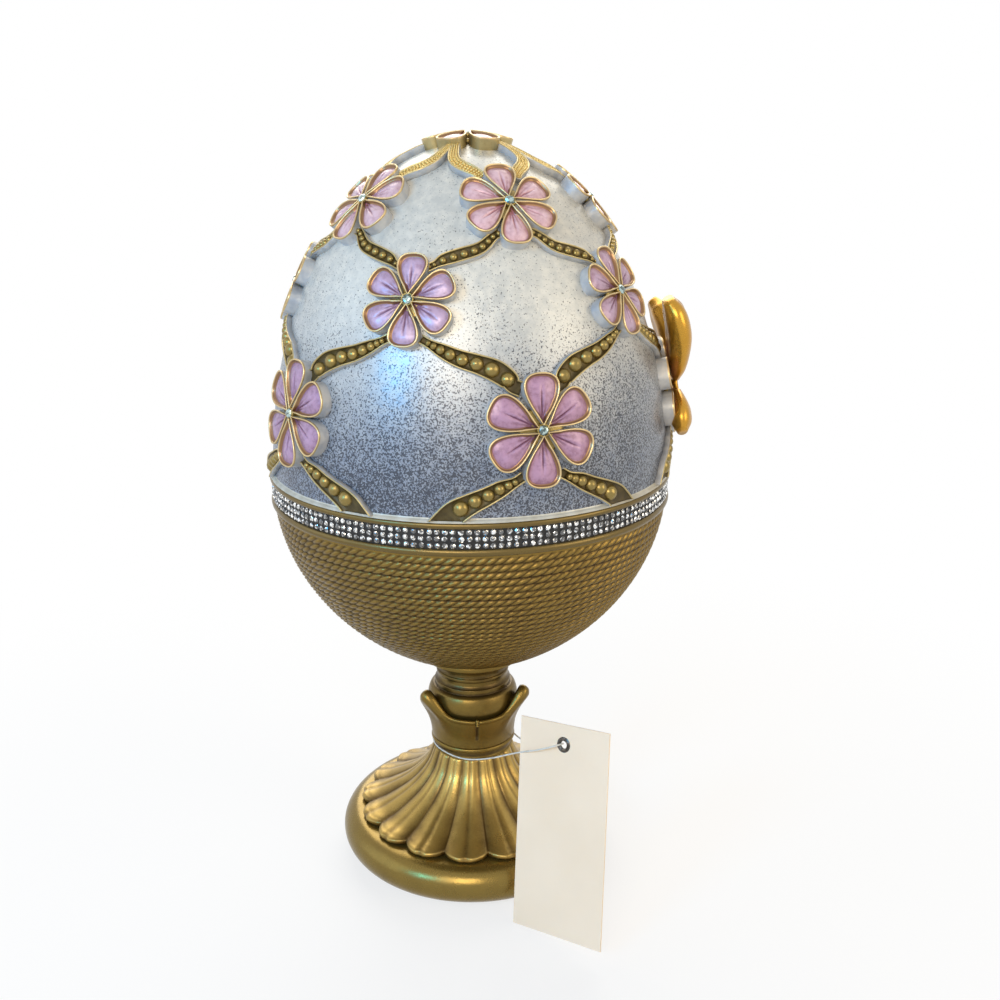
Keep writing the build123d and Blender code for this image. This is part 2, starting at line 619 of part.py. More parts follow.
strap_rows = (
    ("crown", 0, crown_start, crown_end, CROWN_STRAP_SHARES),
    ("high", 0, high_start, high_end, HIGH_STRAP_SHARES),
    ("middle", half_pitch, middle_start, middle_end, MIDDLE_STRAP_SHARES),
    ("low", 0, low_start, low_end, LOW_STRAP_SHARES),
)
for row_name, first_turn, start, end, shares in strap_rows:
    with BuildPart() as one_pair:
        strap_pair(first_turn, start, end, shares)
        split(bisect_by=Plane.XY.offset(DOME_BASE + SEAT_CLEARANCE), keep=Keep.TOP)
    with BuildPart() as row_straps:
        with PolarLocations(0, FLOWERS_ROUND):
            add(one_pair.part)
    finish(row_straps.part, f"straps_{row_name}")

# Ribbon bow: a stemmed knot on the flower, two puffed loops and two tails
flower_place = ground_plane(0, LOW_ROW_HEIGHT)
bow_level = flower_place.x_dir * cos(radians(BOW_TILT)) + flower_place.y_dir * sin(radians(BOW_TILT))
bow_place = Plane(origin=flower_place.origin, x_dir=bow_level, z_dir=flower_place.z_dir)
knot_base = SEAT_CLEARANCE + FLOWER_RELIEF + HUB_PROUD + SEAT_CLEARANCE


def bow_ring(middle, wide, thick):
    """Ring of a bow piece in the flower's own coordinates, spanned by two half axes."""
    ring = []
    for corner in range(BOW_SIDES):
        swing = 2 * pi * (corner + 0.5) / BOW_SIDES
        ring.append(bow_place.from_local_coords(middle + wide * cos(swing) + thick * sin(swing)))
    return ring


knot_rings = []
for out in (knot_base - STEM_DEPTH, knot_base):
    knot_rings.append(bow_ring(Vector(0, 0, out), Vector(STEM_RADIUS, 0, 0), Vector(0, STEM_RADIUS, 0)))
for depth_share, breadth_share in KNOT_SHARES:
    wide = Vector(KNOT_WIDTH / 2 * breadth_share, 0, 0)
    tall = Vector(0, KNOT_HEIGHT / 2 * breadth_share, 0)
    knot_rings.append(bow_ring(Vector(0, 0, knot_base + KNOT_DEPTH * depth_share), wide, tall))
with BuildPart() as knot:
    add(panelled(knot_rings))
finish(knot.part, "bow_knot")


def puffed(reach, rise, stand, half_width, half_thickness, shares):
    """One loop or tail of the bow, with an oval section that swells and shrinks along it."""
    middles = [Vector(reach * row[0], rise * row[1], stand * row[2]) for row in shares]
    rings = []
    for k, (middle, row) in enumerate(zip(middles, shares)):
        ahead = (middles[min(k + 1, len(middles) - 1)] - middles[max(k - 1, 0)]).normalized()
        across = ahead.cross(Vector(0, 0, 1)).normalized()
        outward = across.cross(ahead).normalized()
        rings.append(bow_ring(middle, across * (half_width * row[3]), outward * (half_thickness * row[4])))
    return panelled(rings)


with BuildPart() as loops:
    for reach in (-LOOP_REACH, LOOP_REACH):
        add(puffed(reach, LOOP_RISE, LOOP_STAND, LOOP_HALF_WIDTH, LOOP_HALF_THICKNESS, LOOP_SHARES))
finish(loops.part, "bow_loops")
with BuildPart() as tails:
    for reach in (-TAIL_REACH, TAIL_REACH):
        add(puffed(reach, -TAIL_FALL, TAIL_STAND, TAIL_HALF_WIDTH, TAIL_HALF_THICKNESS, TAIL_SHARES))
finish(tails.part, "bow_tails")

# Swing tag: a card that leans beside the foot, with an eyelet for the thread
turn, rise, lean = radians(TAG_TURN), radians(TAG_RISE), radians(TAG_LEAN)
tag_across = Vector(cos(turn) * cos(rise), sin(turn) * cos(rise), sin(rise))
tag_level = Vector(sin(turn), -cos(turn), 0)
tag_face = tag_level * cos(lean) + tag_level.cross(tag_across) * sin(lean)
tag_plane = Plane(origin=TAG_HOLE_PLACE, x_dir=tag_across, z_dir=tag_face)
with BuildPart() as tag:
    with BuildSketch(tag_plane):
        with Locations((0, TAG_HOLE_BELOW_TOP - TAG_LENGTH / 2)):
            Rectangle(TAG_WIDTH, TAG_LENGTH)
        RegularPolygon(TAG_HOLE_RADIUS, EYELET_SIDES, mode=Mode.SUBTRACT)
    extrude(amount=TAG_THICKNESS / 2, both=True)
finish(tag.part, "hang_tag")
with BuildPart() as eyelet:
    with BuildSketch(tag_plane):
        RegularPolygon(TAG_HOLE_RADIUS - SEAT_CLEARANCE, EYELET_SIDES)
    extrude(amount=TAG_THICKNESS / 2 + EYELET_FLANGE, both=True)
    for face_side in (-1, 1):
        with BuildSketch(tag_plane.offset(face_side * TAG_THICKNESS / 2)):
            RegularPolygon(EYELET_RADIUS, EYELET_SIDES)
        extrude(amount=face_side * EYELET_FLANGE)
    with BuildSketch(tag_plane):
        RegularPolygon(EYELET_BORE_RADIUS, EYELET_SIDES)
    extrude(amount=TAG_THICKNESS + CUT_OVERRUN, both=True, mode=Mode.SUBTRACT)
finish(eyelet.part, "tag_eyelet")

# Thread: straight runs joined by arcs, each as large as its two runs allow; its ends meet in the eyelet
corner_radii = []
for before, here, after in zip(THREAD_ROUTE, THREAD_ROUTE[1:], THREAD_ROUTE[2:]):
    half_turn = radians((Vector(here) - Vector(before)).get_angle(Vector(after) - Vector(here))) / 2
    shorter = min(dist(before, here), dist(here, after))
    corner_radii.append(THREAD_CORNER_SHARE * shorter / tan(half_turn))
with BuildPart() as thread:
    with BuildLine() as thread_path:
        FilletPolyline(*THREAD_ROUTE, radius=corner_radii)
    with BuildSketch(Plane(origin=thread_path.line @ 0, z_dir=thread_path.line % 0)) as thread_section:
        RegularPolygon(THREAD_RADIUS, THREAD_SIDES)
    sweep(path=thread_path.line)
finish(thread.part, "tag_thread")
thread_length = sum(edge.length for edge in thread_path.edges())
swept_share = thread.part.volume / (thread_section.sketch.area * thread_length)
print("thread corner radii", [round(radius, 1) for radius in corner_radii])
print("thread length", round(thread_length, 1), "volume over section times length", round(swept_share, 4))
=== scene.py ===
import random
from math import cos, degrees, exp, pi, radians, sin, sqrt, tau

import bmesh
import bpy
import numpy as np
from mathutils import Matrix, Vector


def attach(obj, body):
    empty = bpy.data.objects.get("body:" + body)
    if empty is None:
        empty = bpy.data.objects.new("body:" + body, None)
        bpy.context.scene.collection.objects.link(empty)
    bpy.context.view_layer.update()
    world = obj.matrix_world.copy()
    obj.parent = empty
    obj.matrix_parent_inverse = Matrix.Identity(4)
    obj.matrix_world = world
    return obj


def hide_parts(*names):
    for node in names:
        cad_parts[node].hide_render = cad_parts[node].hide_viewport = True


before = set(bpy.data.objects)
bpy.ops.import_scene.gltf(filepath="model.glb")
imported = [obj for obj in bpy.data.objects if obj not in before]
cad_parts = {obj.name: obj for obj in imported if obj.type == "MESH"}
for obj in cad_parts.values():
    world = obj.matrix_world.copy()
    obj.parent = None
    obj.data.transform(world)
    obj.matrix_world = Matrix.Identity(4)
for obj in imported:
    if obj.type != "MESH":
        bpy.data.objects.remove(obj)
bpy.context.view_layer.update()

# A jewelled egg on a turned stand. Shapes are worked out in millimetres and placed in metres.
MM = 0.001
random.seed(7)

# The egg's outline: waist, crown and bowl
EGG_RADIUS = 79.5
WAIST = 169.0
CROWN_RISE = 131.0
BOWL_DROP = 81.0
CROWN_POWERS = (2.08, 1.92)
BOWL_POWERS = (1.95, 1.75)
FLOWERS_ROUND = 5
PITCH = 360 / FLOWERS_ROUND

# The girdle's rings: base and height of each
GIRDLE = {"lower": (162.75, 2.5), "band": (165.25, 7.5), "upper": (172.75, 3.0)}
GIRDLE_INNER = EGG_RADIUS - 6.0
DOME_BASE = sum(GIRDLE["upper"])

# Rows of flowers: first turn, height of the hearts and radius
BOW_TURN = 0.0
LOW_ROW = (BOW_TURN, 205.94, 19.7)
MIDDLE_ROW = (36.0, 247.73, 16.6)
HIGH_ROW = (0.0, 277.99, 17.0)
CROWN_FLOWER_RADIUS = 16.0
CROWN_HEART = 299.0


# Mesh building
class Clay:
    """Grows one mesh from skins of points in millimetres."""

    def __init__(self):
        self.points, self.faces, self.slots, self.painted_shades = [], [], [], []
        self.count = 0

    def skin(self, grid, slot=0, mark=0.0, flip=False, caps=False):
        """Join closed rows of points. Columns run anticlockwise seen from outside while rows climb."""
        grid = np.asarray(grid, float)
        rows, cols = grid.shape[:2]
        index = self.count + np.arange(rows * cols).reshape(rows, cols)
        ahead = np.roll(index, -1, axis=1)
        quads = np.stack((index[:-1], ahead[:-1], ahead[1:], index[1:]), -1)
        slots = np.broadcast_to(slot, quads.shape[:2]).reshape(-1).tolist()
        faces = quads.reshape(-1, 4).tolist()
        if caps:
            faces += [index[0][::-1].tolist(), index[-1].tolist()]
            slots += [slots[0], slots[-1]]
        if flip:
            faces = [face[::-1] for face in faces]
        self.points.append(grid.reshape(-1, 3))
        self.painted_shades.append(np.broadcast_to(mark, (rows, cols)).reshape(-1))
        self.faces += faces
        self.slots += slots
        self.count += rows * cols

    def piece(self, name, body, materials, nodes, slot, smooth=True):
        """Make the object, ride it on its body and let it stand for its nodes."""
        mesh = bpy.data.meshes.new(name)
        mesh.from_pydata((np.concatenate(self.points) * MM).tolist(), [], self.faces)
        mesh.polygons.foreach_set("material_index", self.slots)
        mesh.polygons.foreach_set("use_smooth", [smooth] * len(self.faces))
        mark = mesh.attributes.new("mark", "FLOAT", "POINT")
        mark.data.foreach_set("value", np.concatenate(self.painted_shades))
        mesh.update()
        made = bpy.data.objects.new(name, mesh)
        bpy.context.scene.collection.objects.link(made)
        for material in materials:
            mesh.materials.append(material)
        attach(made, body)
        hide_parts(*nodes)
        return made


def smooth_line(points, steps):
    """Catmull-Rom line through given points of any width."""
    points = np.asarray(points, float)
    padded = np.vstack((2 * points[0] - points[1], points, 2 * points[-1] - points[-2]))
    line = []
    for k in range(1, len(padded) - 2):
        before, here, there, after = padded[k - 1:k + 3]
        for t in np.arange(steps) / steps:
            bend = 2 * here + (there - before) * t + (2 * before - 5 * here + 4 * there - after) * t**2
            line.append((bend + (3 * here - before - 3 * there + after) * t**3) / 2)
    return np.array(line + [points[-1]])


def lathe(clay, profile, columns=180, slot=0, mark=0.0):
    """Turn a profile of (radius, height) rows about +Z and close both ends."""
    turns = np.arange(columns) * tau / columns
    profile = np.asarray(profile, float)
    grid = np.stack((
        profile[:, :1] * np.cos(turns), profile[:, :1] * np.sin(turns),
        np.broadcast_to(profile[:, 1:], (len(profile), columns)),
    ), -1)
    clay.skin(grid, slot, mark, caps=True)


def spokes(first, second, count, start=0.0):
    """Unit ways round a circle, from the first axis towards the second."""
    swings = start + np.arange(count) * tau / count
    return np.cos(swings)[:, None] * first + np.sin(swings)[:, None] * second


def axes_across(out, level):
    """Two unit ways at right angles to out, the first along level."""
    level = level / np.linalg.norm(level)
    return level, np.cross(out, level)


def ball(clay, middle, out, radius, slot=0, sides=14, rows=8):
    """A bead that stands out from what carries it."""
    any_way = (0.3, 0.2, 0.9)
    spoke = spokes(*axes_across(out, np.cross(out, any_way)), sides)
    lifts = np.linspace(-0.45 * pi, 0.499 * pi, rows)
    clay.skin([middle + radius * (cos(lift) * spoke + sin(lift) * out) for lift in lifts], slot, caps=True)


# The egg's ground
def ground_radius(height):
    """Radius of the ground at heights."""
    height = np.asarray(height, float)
    crown = np.clip((height - WAIST) / CROWN_RISE, 0, 1)
    bowl = np.clip((WAIST - height) / BOWL_DROP, 0, 1)
    upper = (1 - crown ** CROWN_POWERS[0]) ** (1 / CROWN_POWERS[1])
    lower = (1 - bowl ** BOWL_POWERS[0]) ** (1 / BOWL_POWERS[1])
    return EGG_RADIUS * np.where(height >= WAIST, upper, lower)


def ground_slope(points):
    """How far points are outside the crown's ground, and which way that grows."""
    reach = np.maximum(np.hypot(points[..., 0], points[..., 1]), 1e-6)
    rise = np.clip((points[..., 2] - WAIST) / CROWN_RISE, 1e-6, None)
    share = reach / EGG_RADIUS
    climb, spread = CROWN_POWERS
    outside = rise**climb + share**spread - 1
    steep = spread * share ** (spread - 1) / EGG_RADIUS / reach
    upward = climb * rise ** (climb - 1) / CROWN_RISE
    return outside, np.stack((points[..., 0] * steep, points[..., 1] * steep, upward), -1)


def normal_at(points):
    """Unit way out of the crown's ground."""
    way = ground_slope(points)[1]
    return way / np.linalg.norm(way, axis=-1, keepdims=True)


def on_ground(turn, height):
    """Points of the ground at turns in degrees and heights."""
    radius = ground_radius(height)
    turn = np.radians(turn)
    return np.stack((radius * np.cos(turn), radius * np.sin(turn), np.asarray(height, float)), -1)


def dropped(points, out):
    """Points moved along one way until they lie on the ground."""
    for _ in range(8):
        outside, way = ground_slope(points)
        points = points - (outside / (way @ out))[..., None] * out
    return points


def walk(turn, height, way, distance, steps=6):
    """Turn and height reached by walking over the ground, some degrees up from level."""
    for _ in range(steps):
        lean = normal_at(on_ground(turn, height))[2]
        height += distance / steps * sin(radians(way)) * sqrt(1 - lean**2)
        turn += degrees(distance / steps * cos(radians(way)) / ground_radius(height))
    return float(turn), float(height)


class Patch:
    """Flat coordinates laid on the egg round one heart: x level, y uphill, then a lift off the ground."""

    def __init__(self, turn, height):
        """Height is None for the flower on top of the crown."""
        if height is None:
            self.heart = np.array((0.0, 0.0, CROWN_HEART))
            self.out = np.array((0.0, 0.0, 1.0))
            self.level = np.array((0.0, 1.0, 0.0))
        else:
            self.heart = on_ground(turn, height)
            self.out = normal_at(self.heart)
            self.level = np.array((-sin(radians(turn)), cos(radians(turn)), 0.0))
        self.uphill = np.cross(self.out, self.level)

    def flat(self, x, y, lift):
        """Points over the heart's own flat plane."""
        plane = self.heart + x[..., None] * self.level + y[..., None] * self.uphill
        return plane + lift[..., None] * self.out

    def lay(self, x, y, lift):
        """Points that follow the ground."""
        point = dropped(self.flat(x, y, np.zeros_like(x)), self.out)
        return point + normal_at(point) * np.asarray(lift)[..., None]


# Shader building
class Tree:
    """Makes nodes in one material or world."""

    def __init__(self, owner):
        owner.use_nodes = True
        self.owner = owner
        self.nodes = owner.node_tree.nodes
        self.links = owner.node_tree.links

    def node(self, kind, inputs=(), **settings):
        """New node: its settings first, then values or links for its sockets."""
        made = self.nodes.new(kind)
        for key, value in settings.items():
            setattr(made, key, value)
        for key, value in dict(inputs).items():
            self.put(made.inputs[key], value)
        return made

    def put(self, socket, value):
        """Link or set one socket."""
        if isinstance(value, Value):
            self.links.new(value.socket, socket)
        elif isinstance(value, bpy.types.NodeSocket):
            self.links.new(value, socket)
        else:
            socket.default_value = value

    def set(self, **inputs):
        """Feed the surface, with underscores for the spaces in its socket names."""
        for key, value in inputs.items():
            self.put(self.nodes["Principled BSDF"].inputs[key.replace("_", " ")], value)
        return self.owner

    def show(self, share, first, second):
        """Send a mix of two shaders to the output."""
        mixed = self.node("ShaderNodeMixShader", {0: share, 1: first.outputs[0], 2: second.outputs[0]})
        output = next(node for node in self.nodes if node.type.startswith("OUTPUT"))
        self.put(output.inputs["Surface"], mixed.outputs[0])
        return self.owner

    def value(self, socket):
        """A socket as a number for sums."""
        return Value(self, socket)

    def place(self):
        """Position in the object, in millimetres."""
        coords = self.node("ShaderNodeTexCoord").outputs["Object"]
        scaled = self.node("ShaderNodeVectorMath", {0: coords, "Scale": 1 / MM}, operation="SCALE")
        return scaled.outputs["Vector"]

    def noise(self, size, detail=3.0, roughness=0.5):
        """Noise with features about size millimetres across."""
        inputs = {"Vector": self.place(), "Scale": 1 / size, "Detail": detail, "Roughness": roughness}
        return self.value(self.node("ShaderNodeTexNoise", inputs).outputs["Fac"])

    def facets(self, size):
        """One random number for each cell about size millimetres across."""
        inputs = {"Vector": self.place(), "Scale": 1 / size}
        colour = self.node("ShaderNodeTexVoronoi", inputs).outputs["Color"]
        return self.value(self.node("ShaderNodeSeparateColor", {0: colour}).outputs[0])

    def mark(self):
        """The painted shade that the mesh carries at each point, high in recesses, creases and under things.
        """
        return self.value(self.node("ShaderNodeAttribute", attribute_name="mark").outputs["Fac"])

    def height(self):
        """Height over the foot's underside, in millimetres."""
        parts = self.node("ShaderNodeSeparateXYZ", {0: self.place()})
        return self.value(parts.outputs["Z"])

    def mix(self, share, first, second):
        """Colour between two colours."""
        made = self.node("ShaderNodeMix", data_type="RGBA")
        for socket, value in ((made.inputs[0], share), (made.inputs[6], first), (made.inputs[7], second)):
            self.put(socket, value)
        return made.outputs[2]

    def bump(self, height, depth):
        """Relief depth millimetres deep."""
        return self.node("ShaderNodeBump", {"Height": height, "Distance": depth * MM}).outputs["Normal"]


class Value:
    """A number in a material, with ordinary sums."""

    def __init__(self, tree, socket):
        self.tree, self.socket = tree, socket

    def math(self, kind, *others):
        """One Math node on this number and others."""
        made = self.tree.node("ShaderNodeMath", operation=kind)
        for socket, value in zip(made.inputs, (self, *others)):
            self.tree.put(socket, value)
        return Value(self.tree, made.outputs[0])

    def __add__(self, other):
        return self.math("ADD", other)

    def __radd__(self, other):
        return self.math("ADD", other)

    def __sub__(self, other):
        return self.math("SUBTRACT", other)

    def __rsub__(self, other):
        return (self * -1.0).math("ADD", other)

    def __mul__(self, other):
        return self.math("MULTIPLY", other)

    def __rmul__(self, other):
        return self.math("MULTIPLY", other)

    def over(self, low, high, first=0.0, last=1.0):
        """Spread the span from low to high over first to last, held at both ends."""
        inputs = {0: self, 1: low, 2: high, 3: first, 4: last}
        made = self.tree.node("ShaderNodeMapRange", inputs, interpolation_type="SMOOTHSTEP")
        return Value(self.tree, made.outputs[0])


def opaque(colour):
    """Red, green and blue as a socket's colour."""
    return (*colour, 1.0)


def surface(name):
    """A new material's tree."""
    return Tree(bpy.data.materials.new(name))


# Materials
def gilt(name, bright, dark, roughness, wear=0.3, grain=0.03):
    """Gold paint over a casting, cloudy on its faces, with painted shade that darkens it in its recesses."""
    tree = surface(name)
    cloud = tree.noise(11.0, 5.0, 0.6)
    fine = tree.noise(0.5, 2.0)
    # The mesh's painted shade darkens the gold in recesses, on top of the cloudy wear.
    share = cloud.over(0.3, 0.75) * wear + fine.over(0.35, 0.75) * 0.12 + tree.mark()
    return tree.set(
        Base_Color=tree.mix(share.over(0.0, 1.0), opaque(bright), opaque(dark)), Metallic=0.75,
        Roughness=cloud.over(0.3, 0.7, roughness * 0.85, roughness * 1.25) + fine * 0.08,
        Normal=tree.bump(tree.noise(1.4) + fine * 0.4, grain),
    )


def pearl_ground():
    """Pearl enamel, densely speckled low down and nearly clear towards the crown, with painted shade that
    turns it from creamy near the crown to a dark silvery grey low down.
    """
    tree = surface("pearl_ground")
    fully_shaded_below, creamy_above = 184.0, 262.0
    speck_colour = (0.035, 0.038, 0.05)
    # Painted shade: the ground darkens from creamy to a silvery grey towards the bottom.
    low = tree.height().over(fully_shaded_below, creamy_above, 1.0, 0.0)
    drift = tree.noise(30.0)
    fleck = tree.noise(0.66, 2.0, 0.6)
    threshold = drift.over(0.3, 0.7, 0.61, 0.67) - low * 0.168
    speckle = (fleck - threshold).over(0.0, 0.035)
    brushed = tree.noise(3.2, 4.0, 0.65)
    clear = tree.mix(brushed.over(0.3, 0.72), opaque((0.56, 0.56, 0.52)), opaque((0.71, 0.69, 0.62)))
    low_shaded_colour = tree.mix(brushed.over(0.3, 0.7), opaque((0.19, 0.22, 0.28)), opaque((0.28, 0.305, 0.35)))
    return tree.set(
        Base_Color=tree.mix(speckle * 0.9, tree.mix(low, clear, low_shaded_colour), opaque(speck_colour)),
        Metallic=0.25, Roughness=brushed.over(0.3, 0.7, 0.3, 0.44), Coat_Weight=0.15, Coat_Roughness=0.2,
        Normal=tree.bump(tree.noise(2.4, 4.0, 0.6) + fleck * 0.25, 0.08),
    )


def enamel(name, light, cloud_and_shade_colour):
    """Translucent enamel laid in a petal, with painted shade that darkens it in its creases, next to its wire
    and towards its heart.
    """
    tree = surface(name)
    cloud = tree.noise(2.0, 4.0, 0.6)
    # Painted shade from the mesh darkens the enamel in its creases, by its wire and near the heart.
    share = (tree.mark() + cloud.over(0.35, 0.75) * 0.4).over(0.0, 1.0)
    return tree.set(
        Base_Color=tree.mix(share, opaque(light), opaque(cloud_and_shade_colour)), Metallic=0.1,
        Roughness=cloud.over(0.3, 0.7, 0.3, 0.46), Coat_Weight=0.3, Coat_Roughness=0.2,
        Normal=tree.bump(tree.noise(0.8), 0.05),
    )


def painted(name, colour, other, roughness, cloud_size, depth, metallic=0.0):
    """Plain painted, moulded or polished surface with a slight cloud and a grain of some depth."""
    tree = surface(name)
    cloud = tree.noise(cloud_size, 4.0)
    return tree.set(
        Base_Color=tree.mix(cloud.over(0.3, 0.7), opaque(colour), opaque(other)), Metallic=metallic,
        Roughness=cloud.over(0.3, 0.7, roughness * 0.9, roughness * 1.15),
        Normal=tree.bump(tree.noise(0.9), depth),
    )


def stone_glass(name, colour, dark_facet_colour, size, glint_share):
    """Foiled glass with painted glints: patches of its surface painted mirror-bright or dark by turns."""
    tree = surface(name)
    # Painted reflections: random cells of the surface get a bright glint colour or a dark one.
    dark = tree.facets(size).over(glint_share - 0.12, glint_share + 0.12)
    return tree.set(
        Base_Color=tree.mix(dark, opaque(colour), opaque(dark_facet_colour)), Metallic=0.85, Roughness=0.1,
        Coat_Weight=0.6, Coat_Roughness=0.03,
    )


# A copy of the stand's gilt set darker than the foot's as painted shade, for the collar, leaf cup, neck and
# bowl ring.
OLD_GOLD_PAINTED_SHADE = gilt("old_gold_painted_shade", (0.195, 0.125, 0.024), (0.06, 0.036, 0.01), 0.28)
FOOT_GOLD = gilt("foot_gold", (0.225, 0.15, 0.034), (0.1, 0.065, 0.016), 0.22)
# A copy of the stand's gilt set about twice as light as the foot's, as painted light on the skirt's
# upward-facing flutes.
SKIRT_GOLD_PAINTED_LIT = gilt("skirt_gold_painted_lit", (0.47, 0.315, 0.085), (0.1, 0.058, 0.014), 0.27)
ROPE_GOLD = gilt("rope_gold", (0.235, 0.148, 0.03), (0.045, 0.024, 0.006), 0.3, wear=0.12, grain=0.09)
RIM_GOLD = gilt("rim_gold", (0.16, 0.11, 0.034), (0.12, 0.08, 0.03), 0.26)
WIRE_GOLD = gilt("wire_gold", (0.64, 0.49, 0.25), (0.27, 0.15, 0.075), 0.28, wear=0.25)
BOW_GOLD = gilt("bow_gold", (0.55, 0.29, 0.035), (0.28, 0.13, 0.015), 0.25)
STRAP_GOLD = gilt("strap_gold", (0.5, 0.4, 0.19), (0.2, 0.14, 0.05), 0.3)
BEAD_GOLD = gilt("bead_gold", (0.28, 0.205, 0.065), (0.12, 0.08, 0.024), 0.24)
PEBBLE_GOLD = gilt("pebble_gold", (0.62, 0.46, 0.17), (0.36, 0.25, 0.08), 0.34)
CHANNEL = painted("channel", (0.055, 0.038, 0.01), (0.1, 0.07, 0.02), 0.5, 3.0, 0.08, 0.4)
PEARL = pearl_ground()
WALL = painted("petal_wall", (0.4, 0.42, 0.45), (0.58, 0.57, 0.55), 0.45, 4.0, 0.05, 0.15)
LIP = painted("dome_lip", (0.62, 0.6, 0.52), (0.5, 0.47, 0.38), 0.4, 5.0, 0.04, 0.2)
LILAC = enamel("lilac_enamel", (0.47, 0.27, 0.4), (0.2, 0.085, 0.14))
MAUVE = enamel("mauve_enamel", (0.56, 0.4, 0.56), (0.26, 0.14, 0.22))
ROSE = enamel("rose_enamel", (0.8, 0.55, 0.6), (0.42, 0.2, 0.24))
GEM = stone_glass("gem", (0.45, 0.58, 0.56), (0.1, 0.14, 0.13), 1.1, 0.62)
RHINESTONE = stone_glass("rhinestone", (0.92, 0.92, 0.9), (0.16, 0.16, 0.16), 0.8, 0.36)
BACKING = painted("stone_backing", (0.012, 0.012, 0.013), (0.025, 0.023, 0.02), 0.4, 2.0, 0.04, 0.3)
CARD = painted("card", (0.92, 0.74, 0.54), (0.96, 0.78, 0.58), 0.55, 34.0, 0.015)
EYELET = painted("eyelet_metal", (0.04, 0.035, 0.03), (0.16, 0.14, 0.12), 0.25, 1.6, 0.02, 0.9)
STEEL = painted("plain_steel", (0.5, 0.5, 0.5), (0.6, 0.6, 0.6), 0.3, 3.0, 0.03, 1.0)
FELT = painted("felt", (0.02, 0.022, 0.02), (0.035, 0.035, 0.033), 0.95, 1.5, 0.3)
THREAD = painted("clear_thread", (0.62, 0.6, 0.54), (0.74, 0.72, 0.66), 0.2, 3.0, 0.01)

BODY = "egg_on_stand"
KEPT_SOLIDS = {"felt_pad": FELT, "base_washer": STEEL, "base_nut": STEEL, "tie_rod": STEEL, "hang_tag": CARD}
for node, material in KEPT_SOLIDS.items():
    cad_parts[node].data.materials.clear()
    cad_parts[node].data.materials.append(material)


# The stand
FELT_THICKNESS = 1.5
FOOT_TOP = 18.0
SKIRT_TOP = 47.0
COLLAR_TOP = 52.5
NECK_TOP = 89.0
BOWL_BASE = 91.6
LIP_HEIGHT = 0.8


def make_foot():
    """Turned disc with a full round edge and a shallow step round its top."""
    foot_radius, step_radius, under_radius, inner_radius = 58.0, 44.0, 30.0, 16.0
    edge = (FOOT_TOP - FELT_THICKNESS) / 2
    rim = foot_radius - edge
    swings = np.linspace(-pi / 2, pi / 2, 25)
    profile = [(under_radius, FELT_THICKNESS)]
    profile += [(rim + edge * cos(swing), FELT_THICKNESS + edge * (1 + sin(swing))) for swing in swings]
    profile += [(step_radius + 2.0, FOOT_TOP - 0.2), (step_radius, FOOT_TOP), (inner_radius, FOOT_TOP)]
    clay = Clay()
    lathe(clay, profile)
    clay.piece("foot_disc", BODY, [FOOT_GOLD], ["foot"], "brass")


def make_skirt():
    """Flared bell of shell-like scallops: a sharp dip between two, a groove down each middle, a thick hem."""
    scallops, first_turn, per_scallop, hem_radius, top_radius = 16, 7.3, 26, 50.6, 17.4
    flare = smooth_line((
        (0.0, 0.955), (0.02, 0.985), (0.05, 1.0), (0.08, 0.995), (0.098, 0.965), (0.12, 0.9), (0.2, 0.7),
        (0.42, 0.36), (0.7, 0.12), (1.0, 0.0),
    ), 8)
    along = np.arange(scallops * per_scallop) / per_scallop
    jitter = np.array([random.uniform(-0.03, 0.03) for _ in range(scallops)])
    which = along.astype(int)
    share = along - which
    shift = jitter[which] * (1 - share) + jitter[(which + 1) % scallops] * share
    turns = np.radians(first_turn + (along + shift) * 360 / scallops)
    dip = 1 - np.abs(np.sin(pi * share)) ** 0.72
    groove = np.exp(-((share - 0.5) / 0.085) ** 2)
    rows, painted_shades = [], []
    for rise, spread in flare:
        radius = top_radius + (hem_radius - top_radius) * spread
        hem = max(0.0, 1 - rise / 0.16)
        depth = (0.055 + 0.03 * spread + 0.02 * hem) * radius
        ring = radius - depth * dip - (0.3 + 0.7 * spread) * groove * min(1.0, rise / 0.06)
        height = FOOT_TOP + (SKIRT_TOP - FOOT_TOP) * rise
        rows.append(np.stack((ring * np.cos(turns), ring * np.sin(turns), np.full(len(turns), height)), -1))
        # Painted shade: darker in the dips between scallops, in the grooves and under the hem.
        painted_shades.append(0.75 * dip + 0.4 * groove + (0.35 if rise < 0.03 else 0.0))
    clay = Clay()
    clay.skin(rows, mark=np.array(painted_shades), caps=True)
    clay.piece("shell_skirt", BODY, [SKIRT_GOLD_PAINTED_LIT], ["fluted_skirt"], "brass")


def make_collar():
    """Collar with the groove that the thread lies in, with painted shade darkest at the groove's bottom."""
    groove_rise = 1.9
    profile = smooth_line((
        (16.9, SKIRT_TOP), (17.2, SKIRT_TOP + 0.4), (16.7, SKIRT_TOP + 0.9), (16.6, SKIRT_TOP + 2.2),
        (16.7, SKIRT_TOP + 3.2), (18.0, SKIRT_TOP + 3.7), (18.3, SKIRT_TOP + 4.4), (18.1, COLLAR_TOP - 0.4),
        (17.6, COLLAR_TOP),
    ), 5)
    painted_shades = np.exp(-(profile[:, 1:] - SKIRT_TOP - groove_rise) ** 2) * 0.6
    clay = Clay()
    lathe(clay, profile, 96, mark=painted_shades)
    clay.piece("groove_collar", BODY, [OLD_GOLD_PAINTED_SHADE], ["thread_collar"], "brass")


